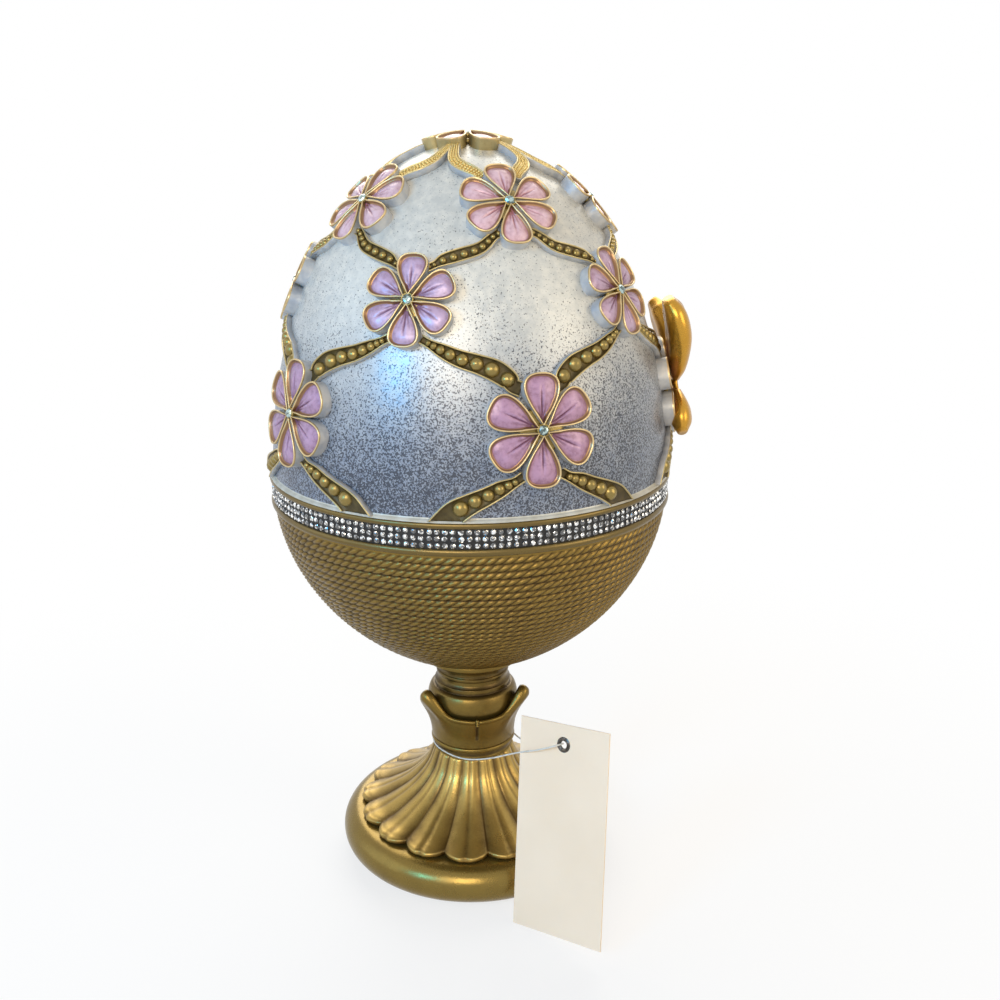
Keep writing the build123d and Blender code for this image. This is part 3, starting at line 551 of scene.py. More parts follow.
def make_leaf_cup():
    """Leaves joined into one cup with a rolled rim: tips curled out like ears, a slit under beads between."""
    leaves, first_turn, columns = 3, -85.0, 240
    wall, floor, bead_reach = 1.5, 2.0, 20.7
    beads = ((14.6, 0.85), (13.6, 0.8), (12.6, 0.65))
    along = np.arange(columns) / columns * leaves
    share = along % 1.0
    swell = np.sin(pi * share)
    turns = np.radians(first_turn + along * 360 / leaves)
    ear = swell**10
    rim_height = 14.4 + 0.8 * swell**0.7 + 10.6 * ear
    body = smooth_line(((0.0, 18.0), (0.3, 18.5), (0.6, 19.6), (0.85, 20.6), (1.0, 20.9)), 6)
    curl = smooth_line((
        (0.0, 0.0), (0.35, 0.2), (0.55, 1.8), (0.72, 4.2), (0.85, 5.6), (0.94, 5.0), (1.0, 3.6),
    ), 6)
    near = np.minimum(share, 1 - share) * 360 / leaves
    slit = np.exp(-(near / 1.7) ** 2)
    outside, inside, painted_shades = [], [], []
    for climb in np.linspace(0, 1, 31):
        reach = np.interp(climb, body[:, 0], body[:, 1]) + ear * np.interp(climb, curl[:, 0], curl[:, 1])
        rolled = 0.45 * exp(-((climb - 0.96) / 0.045) ** 2) * (1 - 0.6 * slit)
        cut = 0.95 * slit * np.clip((climb - 0.3) / 0.12, 0, 1)
        outer = reach + rolled - cut
        height = COLLAR_TOP + rim_height * climb
        outside.append(np.stack((outer * np.cos(turns), outer * np.sin(turns), height), -1))
        inner = reach - wall * (1 - 0.35 * climb + 0.9 * ear * climb)
        height = COLLAR_TOP + floor + (rim_height - floor) * climb
        inside.append(np.stack((inner * np.cos(turns), inner * np.sin(turns), height), -1))
        # Painted shade: darker in the slits and towards the cup's foot, and evenly darker all over the
        # inside.
        painted_shades.append(slit * (climb > 0.33) + 0.12 * (1 - climb))
    edge = (outside[-1] + inside[-1]) / 2 + np.array((0.0, 0.0, 0.35))
    painted_shades = painted_shades + [painted_shades[-1]] + [np.full(columns, 0.6)] * len(inside)
    clay = Clay()
    clay.skin(outside + [edge] + inside[::-1], mark=np.array(painted_shades), caps=True)
    for k in range(leaves):
        turn = radians(first_turn + k * 360 / leaves)
        way = np.array((cos(turn), sin(turn), 0.0))
        for rise, radius in beads:
            ball(clay, way * bead_reach + np.array((0.0, 0.0, COLLAR_TOP + rise)), way, radius)
    clay.piece("leaf_rim_cup", BODY, [OLD_GOLD_PAINTED_SHADE], ["leaf_cup"], "brass")


def make_neck():
    """Turned neck: a round shoulder behind the cup, a step, a cove and a small bead under the bowl."""
    profile = smooth_line((
        (13.5, COLLAR_TOP), (13.6, 56.2), (16.7, 62.0), (18.4, 66.4), (19.25, 69.3), (19.25, 72.6),
        (18.4, 75.4), (17.3, 76.5), (16.4, 76.9), (16.3, 77.4), (16.3, 78.9), (15.7, 79.5), (15.0, 80.6),
        (15.0, 82.0), (15.55, 82.7), (15.55, 83.6), (14.95, 84.2), (15.1, 85.6), (16.2, 87.2),
        (17.2, 88.3), (17.4, NECK_TOP),
    ), 5)
    # Painted shade in rows by height: lightest on the shoulder, dark low behind the cup, at the step and in
    # narrow rows above it.
    shades = np.array((
        (60, 0.8), (66, 0.3), (72, 0.0), (76.2, 0.2), (77, 0.8), (78.2, 0.1), (79.6, 0.7), (81, 0.2),
        (82.2, 0.1), (84.4, 0.5), (86, 0.1), (90, 0.4),
    ))
    painted_shades = np.interp(profile[:, 1], shades[:, 0], shades[:, 1])
    clay = Clay()
    lathe(clay, profile, 120, mark=painted_shades[:, None])
    clay.piece("turned_neck", BODY, [OLD_GOLD_PAINTED_SHADE], ["neck"], "brass")


# The bowl with its rows of rope twist
def bowl_heights(top, stride=0.36, least_rise=0.012):
    """Heights a steady stride apart along the bowl's outline."""
    nudge = 0.2
    heights = [BOWL_BASE]
    while heights[-1] < top:
        lean = (ground_radius(heights[-1] + nudge) - ground_radius(heights[-1])) / nudge
        heights.append(heights[-1] + stride / np.hypot(1.0, lean) + least_rise)
    return np.array(heights[:-1] + [top])


def make_bowl():
    """Lower half of the egg in rows of rope, worn smooth towards the neck, on a small gilt ring."""
    rope_top, rope_pitch, strand, relief, columns = 161.9, 3.1, 3.7, 1.2, 1260
    heights = bowl_heights(GIRDLE["lower"][0])
    radius = ground_radius(heights)
    steps = np.hypot(np.diff(heights), np.diff(radius))
    down = np.concatenate((np.cumsum(steps[::-1])[::-1], (0.0,)))
    start = np.interp(rope_top, heights, down)
    row = (down - start) / rope_pitch
    turns = np.arange(columns) * tau / columns
    inside = np.clip(row, 0, None)
    count = np.round(tau * np.interp(np.floor(inside) + 0.5, row[::-1], radius[::-1]) / strand)
    across = inside % 1.0 - 0.5
    wobble = 0.12 * np.sin(5 * turns + 2.1) + 0.1 * np.sin(17 * turns)
    slant = across * 1.15 + 0.37 * np.floor(inside)
    phase = count[:, None] * turns / tau + slant[:, None] + wobble
    twist = np.abs(np.sin(pi * phase)) ** 0.7
    crown = np.sqrt(np.clip(1 - (2 * across) ** 2, 0, 1))[:, None]
    worn = np.clip((heights - BOWL_BASE - 2.0) / 26.0, 0.0, 1.0) ** 0.7
    fade = (np.clip(row, 0, 0.15) / 0.15 * worn)[:, None]
    height = fade * crown * (0.3 + 0.7 * twist)
    ring = radius[:, None] - relief * 0.55 * fade + relief * height
    level = np.broadcast_to(heights[:, None], ring.shape)
    clay = Clay()
    # Painted shade darkens the rope between its strands, except where it is worn smooth.
    clay.skin(
        np.stack((ring * np.cos(turns), ring * np.sin(turns), level), -1),
        mark=(1 - height) * fade * 0.95, caps=True,
    )
    ring_profile = smooth_line((
        (18.5, NECK_TOP), (20.2, NECK_TOP + 0.2), (20.7, NECK_TOP + 0.9), (20.7, NECK_TOP + 1.8),
        (20.3, BOWL_BASE), (19.5, BOWL_BASE + 0.4),
    ), 5)
    lathe(clay, ring_profile, 120, slot=1)
    clay.piece("rope_bowl", BODY, [ROPE_GOLD, OLD_GOLD_PAINTED_SHADE], ["egg_bowl"], "bowl_gilt")


# The girdle
def make_rims():
    """Smooth rims; the dome's pale lip takes the upper one's top edge."""
    roundness = 0.9
    swings = np.linspace(-pi / 2, pi / 2, 13)
    for name, proud, lip in (("lower", 1.3, 0.0), ("upper", 1.5, LIP_HEIGHT)):
        base, tall = GIRDLE[name]
        top = base + tall - lip
        reach = EGG_RADIUS + proud - roundness + roundness * np.cos(swings)
        edge = np.stack((reach, base + (top - base) / 2 * (1 + np.sin(swings))), -1)
        clay = Clay()
        lathe(clay, [(GIRDLE_INNER, base), *edge, (GIRDLE_INNER, top)], 240)
        clay.piece(f"smooth_{name}_rim", BODY, [RIM_GOLD], [f"{name}_rim"], "brass")


def make_stones():
    """Three rows of round stones in straight files, set on a dark strip."""
    base, tall = GIRDLE["band"]
    strip_radius = EGG_RADIUS + 0.2
    strip = Clay()
    lathe(strip, (
        (GIRDLE_INNER, base), (strip_radius, base), (strip_radius, base + tall), (GIRDLE_INNER, base + tall),
    ), 240)
    strip.piece("dark_strip", BODY, [BACKING], ["stone_band"], "dark_backing", smooth=False)
    stones = Clay()
    rows, around, radius, sides = 3, 179, 1.06, 8
    # Rings of one cut stone: lift, share of its radius and twist
    cut = ((0.0, 0.9, 0.0), (0.22, 1.0, 0.0), (0.62, 0.62, 0.5), (0.68, 0.48, 0.5))
    for row in range(rows):
        height = base + tall * (row + 0.5) / rows
        for k in range(around):
            turn = tau * (k + random.uniform(-0.06, 0.06)) / around
            out = np.array((cos(turn), sin(turn), 0.0))
            tilt = np.array([random.gauss(0, 0.05) for _ in range(3)])
            facing = (out + tilt) / np.linalg.norm(out + tilt)
            level, up = axes_across(facing, np.cross((0, 0, 1), facing))
            middle = out * strip_radius + np.array((0, 0, height + random.uniform(-0.06, 0.06)))
            spin = random.uniform(0, 1)
            grid = []
            for lift, share, twist in cut:
                spoke = spokes(level, up, sides, (twist + spin) * tau / sides)
                grid.append(middle + facing * lift + spoke * radius * share)
            stones.skin(grid, caps=True)
    stones.piece("rhinestones", BODY, [RHINESTONE], ["stone_rows"], "rhinestone", smooth=False)


# The dome
def make_dome():
    """The pearl ground, with a pale lip that laps the upper rim."""
    start = DOME_BASE + 0.9
    heights = start + (WAIST + CROWN_RISE - start) * np.sin(np.linspace(0, 1, 90) * pi / 2)
    profile = np.stack((ground_radius(heights), heights), -1)
    profile[-1, 0] = 0.01
    lip_base = DOME_BASE - LIP_HEIGHT
    lip = smooth_line((
        (EGG_RADIUS - 4.0, lip_base), (EGG_RADIUS + 0.9, lip_base + 0.05),
        (EGG_RADIUS + 1.05, lip_base + 0.35), (EGG_RADIUS + 0.6, DOME_BASE),
        (EGG_RADIUS + 0.05, DOME_BASE + 0.4), tuple(profile[0]),
    ), 4)
    clay = Clay()
    slots = [[1]] * (len(lip) - 2) + [[0]] * len(profile)
    lathe(clay, np.concatenate((lip[:-1], profile)), 240, slot=np.array(slots))
    clay.piece("pearl_dome", BODY, [PEARL, LIP], ["egg_dome"], "pearl_enamel")


# Flowers, and the rows of a petal's edge: inset, lift and painted shade
PETALS = 6
RELIEF = 4.6
PETAL_EDGE = (
    (-0.2, -0.3, 0.3), (-0.1, 1.5, 0), (0, RELIEF - 0.7, 0), (0, RELIEF - 0.35, 0.3),
    (0.08, RELIEF - 0.08, 0), (0.3, RELIEF, 0), (0.52, RELIEF - 0.08, 0), (0.66, RELIEF - 0.4, 0.6),
    (0.8, RELIEF - 0.75, 1), (1.25, RELIEF - 1.3, 1),
)


def turned(x, y, way):
    """Flat coordinates turned by some degrees."""
    along, aside = cos(radians(way)), sin(radians(way))
    return x * along - y * aside, x * aside + y * along


def petal_outline(length, width, points=64):
    """Teardrop from its root at 0 along x, anticlockwise."""
    swing = np.arange(points) / points * tau
    along = (1 - np.cos(swing)) / 2
    half = along**1.15 * (1 - along) ** 0.42 / 0.402 * width / 2
    return np.stack((along * length, np.where(swing < pi, -half, half)), -1)


def add_petal(clay, patch, way, root, tip, width):
    """One dished petal: wall, wire edge, a slope inside it that painted shade turns a dark coppery gold, then
    creased enamel with painted shade in its creases.
    """
    length = tip - root
    outline = petal_outline(length, width)
    spine = np.stack((np.clip(outline[:, 0], 0.3 * length, 0.72 * length), np.zeros(len(outline))), -1)
    inward = spine - outline
    room = np.maximum(np.linalg.norm(inward, axis=1), 1e-6)
    inward = inward / room[:, None]
    rows, painted_shades = [], []
    for inset, lift, mark in PETAL_EDGE:
        rows.append((outline + inward * np.minimum(inset, 0.6 * room)[:, None], np.full(len(outline), lift)))
        painted_shades.append(np.full(len(outline), mark))
    edge = rows[-1][0]
    for share in (0.1, 0.22, 0.36, 0.5, 0.64, 0.78, 0.9, 1.0):
        point = edge + (spine - edge) * share
        along, side = point[:, 0] / length, np.abs(point[:, 1])
        puff = 0.8 * (1 - (1 - share) ** 2) * np.clip(along * 1.6, 0, 1)
        fold = np.exp(-(side / 0.34) ** 2) * np.clip((0.78 - along) / 0.25, 0, 1)
        vein = np.exp(-((side - 0.2 * (along * length - 0.6)) / 0.26) ** 2)
        vein = vein * np.clip((0.66 - along) / 0.25, 0, 1)
        rows.append((point, RELIEF - 1.35 + puff - 0.7 * fold - 0.4 * vein))
        # Painted shade: darker in the fold and veins, near the wire and towards the heart.
        shade = 0.85 * fold + 0.6 * vein + 0.35 * (1 - share) + 0.5 * np.clip(0.4 - along, 0, 1)
        painted_shades.append(np.clip(shade, 0, 1))
    grid = [patch.lay(*turned(root + point[:, 0], point[:, 1], way), lift) for point, lift in rows]
    walls, wires = [[2]] * 2, [[0]] * (len(PETAL_EDGE) - 3)
    enamelled = [[1]] * (len(rows) - len(PETAL_EDGE))
    clay.skin(grid, np.array(walls + wires + enamelled), np.array(painted_shades))


def add_ring(clay, patch, lifts, slot, sides=24):
    """Turned shape at a flower's heart, from (radius, lift) rows."""
    spoke = spokes(patch.level, patch.uphill, sides)
    clay.skin([patch.heart + spoke * radius + patch.out * lift for radius, lift in lifts], slot, caps=True)


def make_flowers(name, nodes, turns, height, radius, petal_enamel, wall, slot, bare_turn=None):
    """A row of flowers with the stones in their hearts; the one at the bare turn has no stone."""
    floor, seat = RELIEF - 2.2, RELIEF - 0.5
    well = ((0.4 * radius, 0.6), (0.42 * radius, floor - 0.4), (0.36 * radius, floor), (2.0, floor + 0.2))
    boss = ((2.0, 0.4), (2.45, seat - 0.6), (2.35, seat + 0.15), (2.0, seat + 0.4), (1.75, seat))
    stone = ((1.4, seat - 0.1), (1.85, seat + 0.35), (1.3, seat + 0.9), (0.9, seat + 1.0))
    flowers, stones = Clay(), Clay()
    for turn in turns:
        patch = Patch(turn, height)
        for k in range(PETALS):
            way = 90 + k * 360 / PETALS + random.uniform(-2.5, 2.5)
            tip = radius * random.uniform(0.97, 1.0)
            add_petal(flowers, patch, way, 0.07 * radius, tip, 0.63 * radius)
        add_ring(flowers, patch, well, 3)
        add_ring(flowers, patch, boss, 3)
        if turn != bare_turn:
            add_ring(stones, patch, stone, 0, 8)
    flowers.piece(f"petals_{name}", BODY, [WIRE_GOLD, petal_enamel, wall, BEAD_GOLD], nodes[:1], slot)
    stones.piece(f"gems_{name}", BODY, [GEM], nodes[1:], "pale_stone", smooth=False)


# Straps with beads
STRAP_HALF_WIDTH = 5.2
RIM_WIDTH = 0.72
BEAD_MARGIN = 0.6


def along_line(at, lengths, values):
    """Values of a line at a distance along it."""
    return np.array([np.interp(at, lengths, values[:, k]) for k in range(values.shape[1])])


def add_beads(clay, line, halves, top, rows, fill, spacing, first, last):
    """Beads as large as a strap has room for, from a first to a last share of its length."""
    middle, out, across = line
    fineness = (14, 8) if rows == 1 else (7, 4)
    lengths = np.concatenate(((0.0,), np.cumsum(np.linalg.norm(np.diff(middle, axis=0), axis=1))))
    at = first * lengths[-1]
    while at < last * lengths[-1]:
        room = np.interp(at, lengths, halves)
        radius = fill * room / rows
        up, level = along_line(at, lengths, out), along_line(at, lengths, across)
        for row in range(rows):
            drift = random.uniform(-0.35, 0.35) * radius if rows > 1 else 0.0
            aside = (row - (rows - 1) / 2) * 2 * room / rows + drift * 0.4
            here = along_line(at + drift, lengths, middle) + level * aside + up * (top - radius)
            ball(clay, here, up, radius * (1 - abs(drift) * 0.3), 3, *fineness)
        at += 2 * radius * spacing


def add_strap(clay, start, end, first_turn, side, shares, heights, beads, reach_in):
    """One strap: thin raised rims, a dark channel between them and beads that shrink with it."""
    rim_top, floor, bead_top = heights
    shares = np.array(shares)
    before = shares[0] - np.array((1.0, 1.0, 0.0)) * reach_in[0]
    after = shares[-1] + np.array((1.0, 1.0, 0.0)) * reach_in[1]
    shares = smooth_line(np.vstack((before, shares, after)), 7)
    turns = first_turn + side * (start[0] + (end[0] - start[0]) * shares[:, 0])
    middle = on_ground(turns, start[1] + (end[1] - start[1]) * shares[:, 1])
    out = normal_at(middle)
    across = np.cross(out, np.gradient(middle, axis=0))
    across /= np.linalg.norm(across, axis=1, keepdims=True)
    half = STRAP_HALF_WIDTH * shares[:, 2]
    rim_section = (
        (-0.1, -0.4), (0.0, rim_top - 0.9), (0.0, rim_top - 0.3), (0.12, rim_top - 0.05), (0.3, rim_top),
        (0.48, rim_top - 0.08), (0.6, rim_top - 0.4), (RIM_WIDTH, floor + 0.15),
    )
    columns = [(half - np.minimum(inset, half * 0.4), lift) for inset, lift in rim_section]
    columns += [((half - RIM_WIDTH) * 0.5, floor), (half * 0.0, floor - 0.05)]
    columns += [(-reach, lift) for reach, lift in columns[-2::-1]]
    grid = np.stack([middle + across * reach[:, None] + out * lift for reach, lift in columns], 1)
    wall, rim, channel, underside = [2] * 2, [0] * 4, [1] * 6, [2]
    clay.skin(grid, np.array(wall + rim + channel + rim + wall + underside)[None, :], caps=True)
    add_beads(clay, (middle, out, across), half - BEAD_MARGIN, bead_top, *beads)


# Each row of straps: its line in shares of turn, climb and width, its heights (rim, channel, beads),
# its beads (rows, fill, spacing, first, last) and how far its two ends reach in under the petals
STRAPS = {
    "crown": (
        ((0.0, 0.0, 0.34), (0.19, 0.44, 0.43), (0.48, 0.69, 0.5), (0.8, 0.86, 0.5), (1.0, 1.0, 0.44)),
        (2.7, 2.15, 2.75), (3, 0.98, 0.95, 0.02, 0.99), (0.2, 0.14),
    ),
    "high": (
        ((0.0, 0.0, 0.36), (0.25, 0.4, 0.46), (0.6, 0.64, 0.5), (0.86, 0.82, 0.46), (1.0, 1.0, 0.31)),
        (2.5, 1.5, 2.95), (1, 0.78, 1.2, 0.02, 0.99), (0.14, 0.14),
    ),
    "middle": (
        ((0.0, 0.0, 0.33), (0.17, 0.16, 0.5), (0.37, 0.33, 0.6), (0.6, 0.47, 0.67), (0.8, 0.63, 0.75),
         (0.95, 0.85, 0.69), (1.0, 1.0, 0.54)),
        (2.3, 1.0, 3.0), (1, 0.96, 1.0, 0.08, 0.97), (0.12, 0.1),
    ),
    "low": (
        ((0.0, 0.0, 0.38), (0.2, 0.15, 0.58), (0.41, 0.33, 0.65), (0.66, 0.53, 0.75), (0.88, 0.75, 0.88),
         (1.0, 1.0, 1.0), (1.12, 1.3, 1.1)),
        (2.3, 1.0, 3.0), (1, 0.88, 1.0, 0.1, 0.75), (0.14, 0.0),
    ),
}


def strap_ends():
    """First turn, start and end of each row of straps: in the gaps between petals, then at the rim."""
    gap = 360 / PETALS
    half_pitch = PITCH / 2
    crown_reach = CROWN_FLOWER_RADIUS * 1.11 / EGG_RADIUS
    crown_height = WAIST + CROWN_RISE * (1 - crown_reach ** CROWN_POWERS[1]) ** (1 / CROWN_POWERS[0])
    high, high_radius = HIGH_ROW[1:]
    middle, middle_radius = MIDDLE_ROW[1:]
    low, low_radius = LOW_ROW[1:]
    into_high = walk(0, high, gap, high_radius * 0.97)
    into_middle = walk(half_pitch, middle, 180 - gap, middle_radius * 0.9)
    into_low = walk(half_pitch, low, 180 - gap, low_radius * 0.9)
    return {
        "crown": (0.0, (half_pitch * 0.9, crown_height), into_high),
        "high": (0.0, walk(0, high, -gap, high_radius * 0.9), into_middle),
        "middle": (half_pitch, walk(0, middle, -gap, middle_radius), into_low),
        "low": (0.0, walk(0, low, -gap, low_radius), (half_pitch * 0.66, DOME_BASE)),
    }


def cut_level(piece, height):
    """Cut a piece off level below a height and close the cuts."""
    shape = bmesh.new()
    shape.from_mesh(piece.data)
    everything = shape.verts[:] + shape.edges[:] + shape.faces[:]
    bmesh.ops.bisect_plane(
        shape, geom=everything, plane_co=(0, 0, height * MM), plane_no=(0, 0, -1), clear_outer=True,
    )
    bmesh.ops.holes_fill(shape, edges=[edge for edge in shape.edges if edge.is_boundary], sides=0)
    shape.to_mesh(piece.data)
    shape.free()


def make_straps():
    """Mirrored pairs of straps from each flower of a row."""
    for name, (first_turn, start, end) in strap_ends().items():
        shares, heights, beads, reach_in = STRAPS[name]
        clay = Clay()
        for k in range(FLOWERS_ROUND):
            for side in (-1, 1):
                add_strap(clay, start, end, first_turn + k * PITCH, side, shares, heights, beads, reach_in)
        channel, bead_gold = (PEBBLE_GOLD, PEBBLE_GOLD) if name == "crown" else (CHANNEL, BEAD_GOLD)
        surfaces = [STRAP_GOLD, channel, WALL, bead_gold]
        made = clay.piece(f"beaded_{name}", BODY, surfaces, [f"straps_{name}"], "strap_gilt")
        if name == "low":
            cut_level(made, DOME_BASE + 0.05)


# The bow
def add_puff(clay, patch, tilt, line, swell, crease, sides=40):
    """A puffed ribbon on a flower's plane, along rows of (reach, rise, stand, half width, half thickness)."""
    line = smooth_line(line, 9)
    middle = line[:, :3]
    ahead = np.gradient(middle, axis=0)
    ahead /= np.linalg.norm(ahead, axis=1, keepdims=True)
    across = np.cross(ahead, (0.0, 0.0, 1.0))
    across /= np.linalg.norm(across, axis=1, keepdims=True)
    out = np.cross(across, ahead)
    swings = np.arange(sides) * tau / sides
    wide = np.sign(np.cos(swings)) * np.abs(np.cos(swings)) ** swell
    ridge = np.sign(np.sin(swings)) * np.exp(-(np.cos(swings) / 0.25) ** 2)
    thick = np.sin(swings) - crease * ridge
    grid = middle[:, None] + across[:, None] * (line[:, 3:4] * wide)[..., None]
    grid = grid + out[:, None] * (line[:, 4:5] * thick)[..., None]
    x, y = turned(grid[..., 0], grid[..., 1], tilt)
    # Painted shade along the crease of each puff that has one.
    mark = np.broadcast_to(0.5 * np.exp(-(np.cos(swings) / 0.2) ** 2) * (crease > 0), grid.shape[:2])
    clay.skin(patch.flat(x, y, grid[..., 2]), mark=mark, flip=True, caps=True)


def make_bow():
    """Stemmed knot on the flower, two puffed loops and two fat tails."""
    patch, tilt = Patch(*LOW_ROW[:2]), -8.0
    knot = Clay()
    add_puff(knot, patch, tilt, (
        (-4.5, 0.0, 6.2, 2.6, 0.5), (-3.2, 0.0, 6.3, 3.9, 1.0), (0.0, 0.0, 6.3, 3.3, 0.98),
        (3.2, 0.0, 6.3, 3.9, 1.0), (4.5, 0.0, 6.2, 2.6, 0.5),
    ), 0.8, 0.15)
    add_ring(knot, patch, ((1.9, 4.0), (1.9, 5.6)), 0)
    knot.piece("tied_knot", BODY, [BOW_GOLD], ["bow_knot"], "bow_gilt")
    loop = (
        (4.7, 3.0, 6.3, 2.8, 1.6), (8.2, 9.0, 7.2, 7.5, 3.4), (12.0, 16.0, 8.2, 9.6, 4.4),
        (16.1, 22.4, 8.5, 10.0, 4.8), (19.6, 28.8, 7.5, 8.2, 4.4), (21.4, 33.8, 5.4, 4.0, 2.4),
    )
    tail = (
        (4.3, -3.2, 6.2, 2.6, 1.6), (7.0, -6.5, 6.0, 4.9, 2.6), (10.5, -10.5, 5.7, 6.4, 3.5),
        (13.6, -14.2, 4.8, 6.1, 3.6), (15.8, -17.6, 4.2, 3.5, 2.0),
    )
    loops, tails = Clay(), Clay()
    for side in (-1, 1):
        add_puff(loops, patch, tilt, [(side * row[0], *row[1:]) for row in loop], 0.85, 0.12)
        add_puff(tails, patch, tilt, [(side * row[0], *row[1:]) for row in tail], 0.85, -0.1)
    loops.piece("puffed_loops", BODY, [BOW_GOLD], ["bow_loops"], "bow_gilt")
    tails.piece("ribbon_tails", BODY, [BOW_GOLD], ["bow_tails"], "bow_gilt")


# The tag on its thread
TAG_HOLE = np.array((35.3, -57.0, 76.2))
TAG_TURN, TAG_RISE, TAG_LEAN = radians(-38.0), radians(7.0), radians(13.3)
TAG_ACROSS = np.array((cos(TAG_TURN) * cos(TAG_RISE), sin(TAG_TURN) * cos(TAG_RISE), sin(TAG_RISE)))
TAG_LEVEL = np.array((sin(TAG_TURN), -cos(TAG_TURN), 0.0))
TAG_FACE = TAG_LEVEL * cos(TAG_LEAN) + np.cross(TAG_LEVEL, TAG_ACROSS) * sin(TAG_LEAN)
TAG_UP = np.cross(TAG_FACE, TAG_ACROSS)
THREAD_LINE = (
    (34.3, -56.34, 76.08), (32.5, -58.05, 76.6), (28.4, -56.8, 74.6), (24.7, -52.6, 71.4),
    (17.0, -45.0, 66.2), (6.5, -32.0, 55.9), (-5.4, -20.2, 48.9), (-17.0, -7.6, 48.7),
    (-18.1, 5.2, 48.5), (-10.0, 16.0, 48.4), (3.3, 18.6, 48.5), (14.9, 11.5, 48.7),
    (19.6, -4.0, 50.2), (24.6, -21.6, 56.6), (30.4, -38.6, 65.4), (33.6, -48.0, 71.3),
    (36.0, -53.2, 74.7), (34.42, -56.19, 76.03),
)


def make_eyelet():
    """Metal ring pressed into the card's hole, with a rounded flange on both faces."""
    flange = smooth_line(((1.55, -0.45), (1.8, -0.6), (2.5, -0.58), (3.0, -0.4), (3.05, -0.3)), 4)
    section = np.concatenate((flange, flange[::-1] * (1, -1), flange[:1]))
    spoke = spokes(TAG_ACROSS, TAG_UP, 48)
    clay = Clay()
    clay.skin([TAG_HOLE + spoke * radius + TAG_FACE * lift for radius, lift in section])
    return clay.piece("ring_eyelet", "tag", [EYELET], ["tag_eyelet"], "eyelet")


def make_thread(eyelet):
    """Clear line from the eyelet round the collar's groove and back, as one loop."""
    curve = bpy.data.curves.new("clear_line", "CURVE")
    curve.dimensions = "3D"
    curve.bevel_depth = 0.34 * MM
    curve.bevel_resolution = 3
    curve.resolution_u = 8
    curve.use_fill_caps = True
    spline = curve.splines.new("NURBS")
    spline.points.add(len(THREAD_LINE) - 1)
    for point, place in zip(spline.points, THREAD_LINE):
        point.co = (*(Vector(place) * MM), 1.0)
    spline.order_u = 3
    spline.use_endpoint_u = True
    curve.materials.append(THREAD)
    made = bpy.data.objects.new("clear_line", curve)
    bpy.context.scene.collection.objects.link(made)
    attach(made, "tag_loop")
    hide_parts("tag_thread")


# Floor, light and camera
WHITE = (1.0, 1.0, 1.0)


def seen_share(tree):
    """1 for rays of the camera and of mirrors and glass, else 0."""
    rays = tree.node("ShaderNodeLightPath").outputs
    share = tree.value(rays["Is Camera Ray"])
    for kind in ("Is Glossy Ray", "Is Transmission Ray"):
        share = share.math("MAXIMUM", rays[kind])
    return share


def white_floor():
    """Pale paint that reads as the white background, and still takes the object's shadow close by."""
    tree = surface("floor_paint")
    tree.set(Base_Color=opaque((0.82, 0.82, 0.82)), Roughness=0.6)
    glow = tree.node("ShaderNodeEmission", {"Color": opaque(WHITE), "Strength": 1.0})
    reach = tree.node("ShaderNodeVectorMath", {0: tree.place()}, operation="LENGTH").outputs["Value"]
    share = seen_share(tree) * tree.value(reach).over(60.0, 420.0, 0.72, 1.0)
    return tree.show(share, tree.nodes["Principled BSDF"], glow)


def make_stage():
    """Wide level floor under the foot."""
    half = 3.0
    corners = [(-half, -half, 0), (half, -half, 0), (half, half, 0), (-half, half, 0)]
    floor = bpy.data.meshes.new("floor")
    floor.from_pydata(corners, [], [(0, 1, 2, 3)])
    floor.materials.append(white_floor())
    ground = bpy.data.objects.new("floor", floor)
    bpy.context.scene.collection.objects.link(ground)


def add_light(name, place, target, size, power, colour):
    """Square soft lamp, in metres and watts."""
    lamp = bpy.data.lights.new(name, "AREA")
    lamp.energy, lamp.size, lamp.color = power, size, colour
    made = bpy.data.objects.new(name, lamp)
    made.location = place
    made.rotation_euler = (Vector(target) - Vector(place)).to_track_quat("-Z", "Y").to_euler()
    bpy.context.scene.collection.objects.link(made)


def make_world():
    """Soft room light; cameras, mirrors and glass see it as white."""
    tree = Tree(bpy.data.worlds.new("soft_room"))
    tree.put(tree.nodes["Background"].inputs["Color"], opaque((0.93, 0.95, 1.0)))
    tree.put(tree.nodes["Background"].inputs["Strength"], 0.22)
    seen = tree.node("ShaderNodeBackground", {"Color": opaque(WHITE)})
    bpy.context.scene.world = tree.show(seen_share(tree), tree.nodes["Background"], seen)


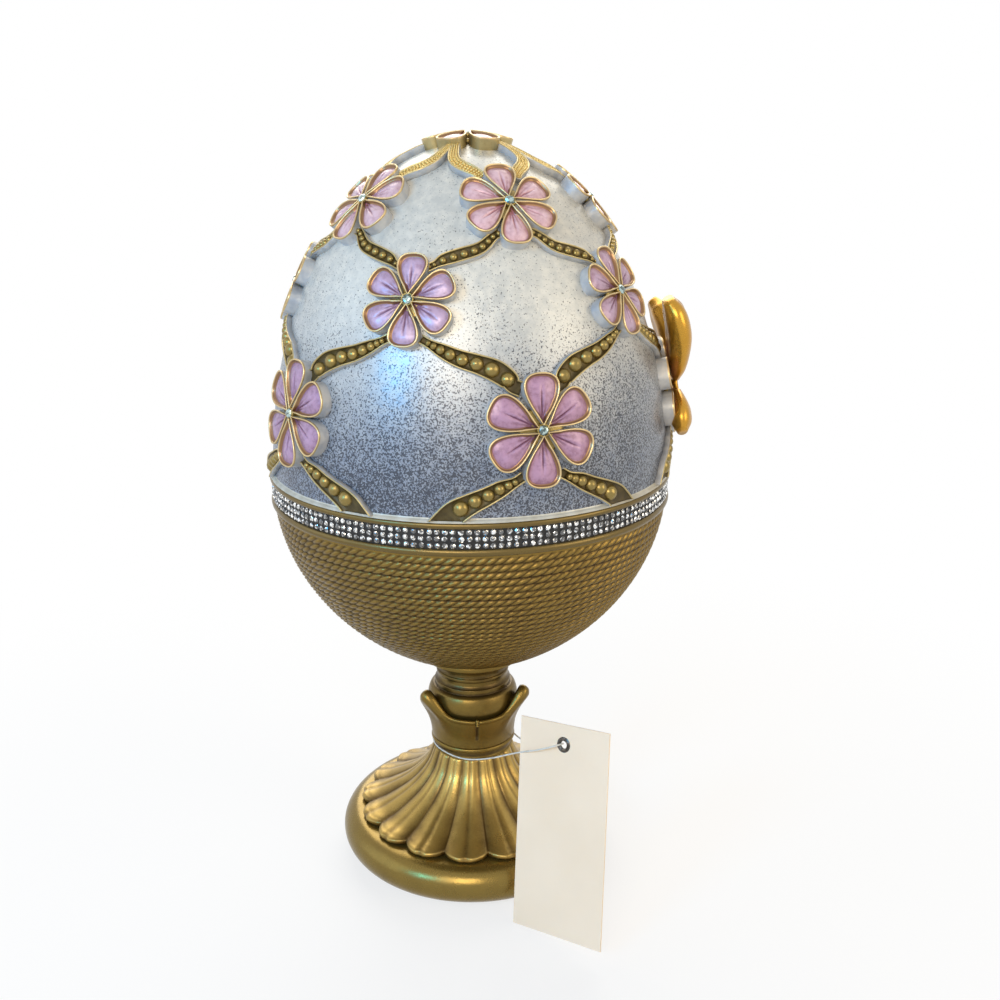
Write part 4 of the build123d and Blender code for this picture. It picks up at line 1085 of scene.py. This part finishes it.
def make_camera():
    """The photograph's view: level pan and tilt fitted to the foot, girdle and outline."""
    lens = bpy.data.cameras.new("photo_camera")
    lens.lens, lens.sensor_width = 40.885, 36.0
    camera = bpy.data.objects.new("photo_camera", lens)
    tilt, pan, roll = radians(17.224), radians(1.537), radians(-0.094)
    aim = Matrix.Rotation(-pan, 4, "Z") @ Matrix.Rotation(pi / 2 - tilt, 4, "X")
    camera.matrix_world = Matrix.Translation((0.0, -0.45, 0.298)) @ aim @ Matrix.Rotation(roll, 4, "Z")
    bpy.context.scene.collection.objects.link(camera)
    bpy.context.scene.camera = camera
    bpy.context.scene.view_settings.view_transform = "Standard"


make_camera()
make_thread(make_eyelet())
make_foot()
make_skirt()
make_collar()
make_leaf_cup()
make_neck()
make_bowl()
make_rims()
make_stones()
make_dome()
for name, (first_turn, height, radius), petal_enamel, slot, bare_turn in (
    ("low", LOW_ROW, LILAC, "lilac_enamel", BOW_TURN),
    ("middle", MIDDLE_ROW, MAUVE, "lilac_enamel", None),
    ("high", HIGH_ROW, ROSE, "rose_enamel", None),
):
    nodes = [f"flowers_{name}", f"stones_{name}"]
    turns = [first_turn + k * PITCH for k in range(FLOWERS_ROUND)]
    make_flowers(name, nodes, turns, height, radius, petal_enamel, WALL, slot, bare_turn)
crown_nodes = ["flower_crown", "stone_crown"]
make_flowers("crown", crown_nodes, [0.0], None, CROWN_FLOWER_RADIUS, ROSE, STRAP_GOLD, "rose_enamel")
make_straps()
make_bow()
make_stage()
add_light("window_left", (-0.75, -0.8, 0.62), (0, 0, 0.2), 0.3, 5.6, (0.04, 0.46, 1.0))
add_light("cool_left", (-1.0, -0.1, 0.5), (0, 0, 0.18), 0.8, 1.8, (0.7, 0.85, 1.0))
add_light("sky_behind", (0.0, 0.95, 0.8), (0, 0, 0.1), 1.1, 13.0, (1.0, 0.95, 0.85))
add_light("lamp_right", (0.8, -0.45, 0.5), (0, 0, 0.18), 0.5, 2.8, (1.0, 0.86, 0.64))
add_light("front_fill", (-0.2, -0.95, 0.66), (0, 0, 0.12), 0.5, 5.6, (1.0, 0.88, 0.72))
make_world()
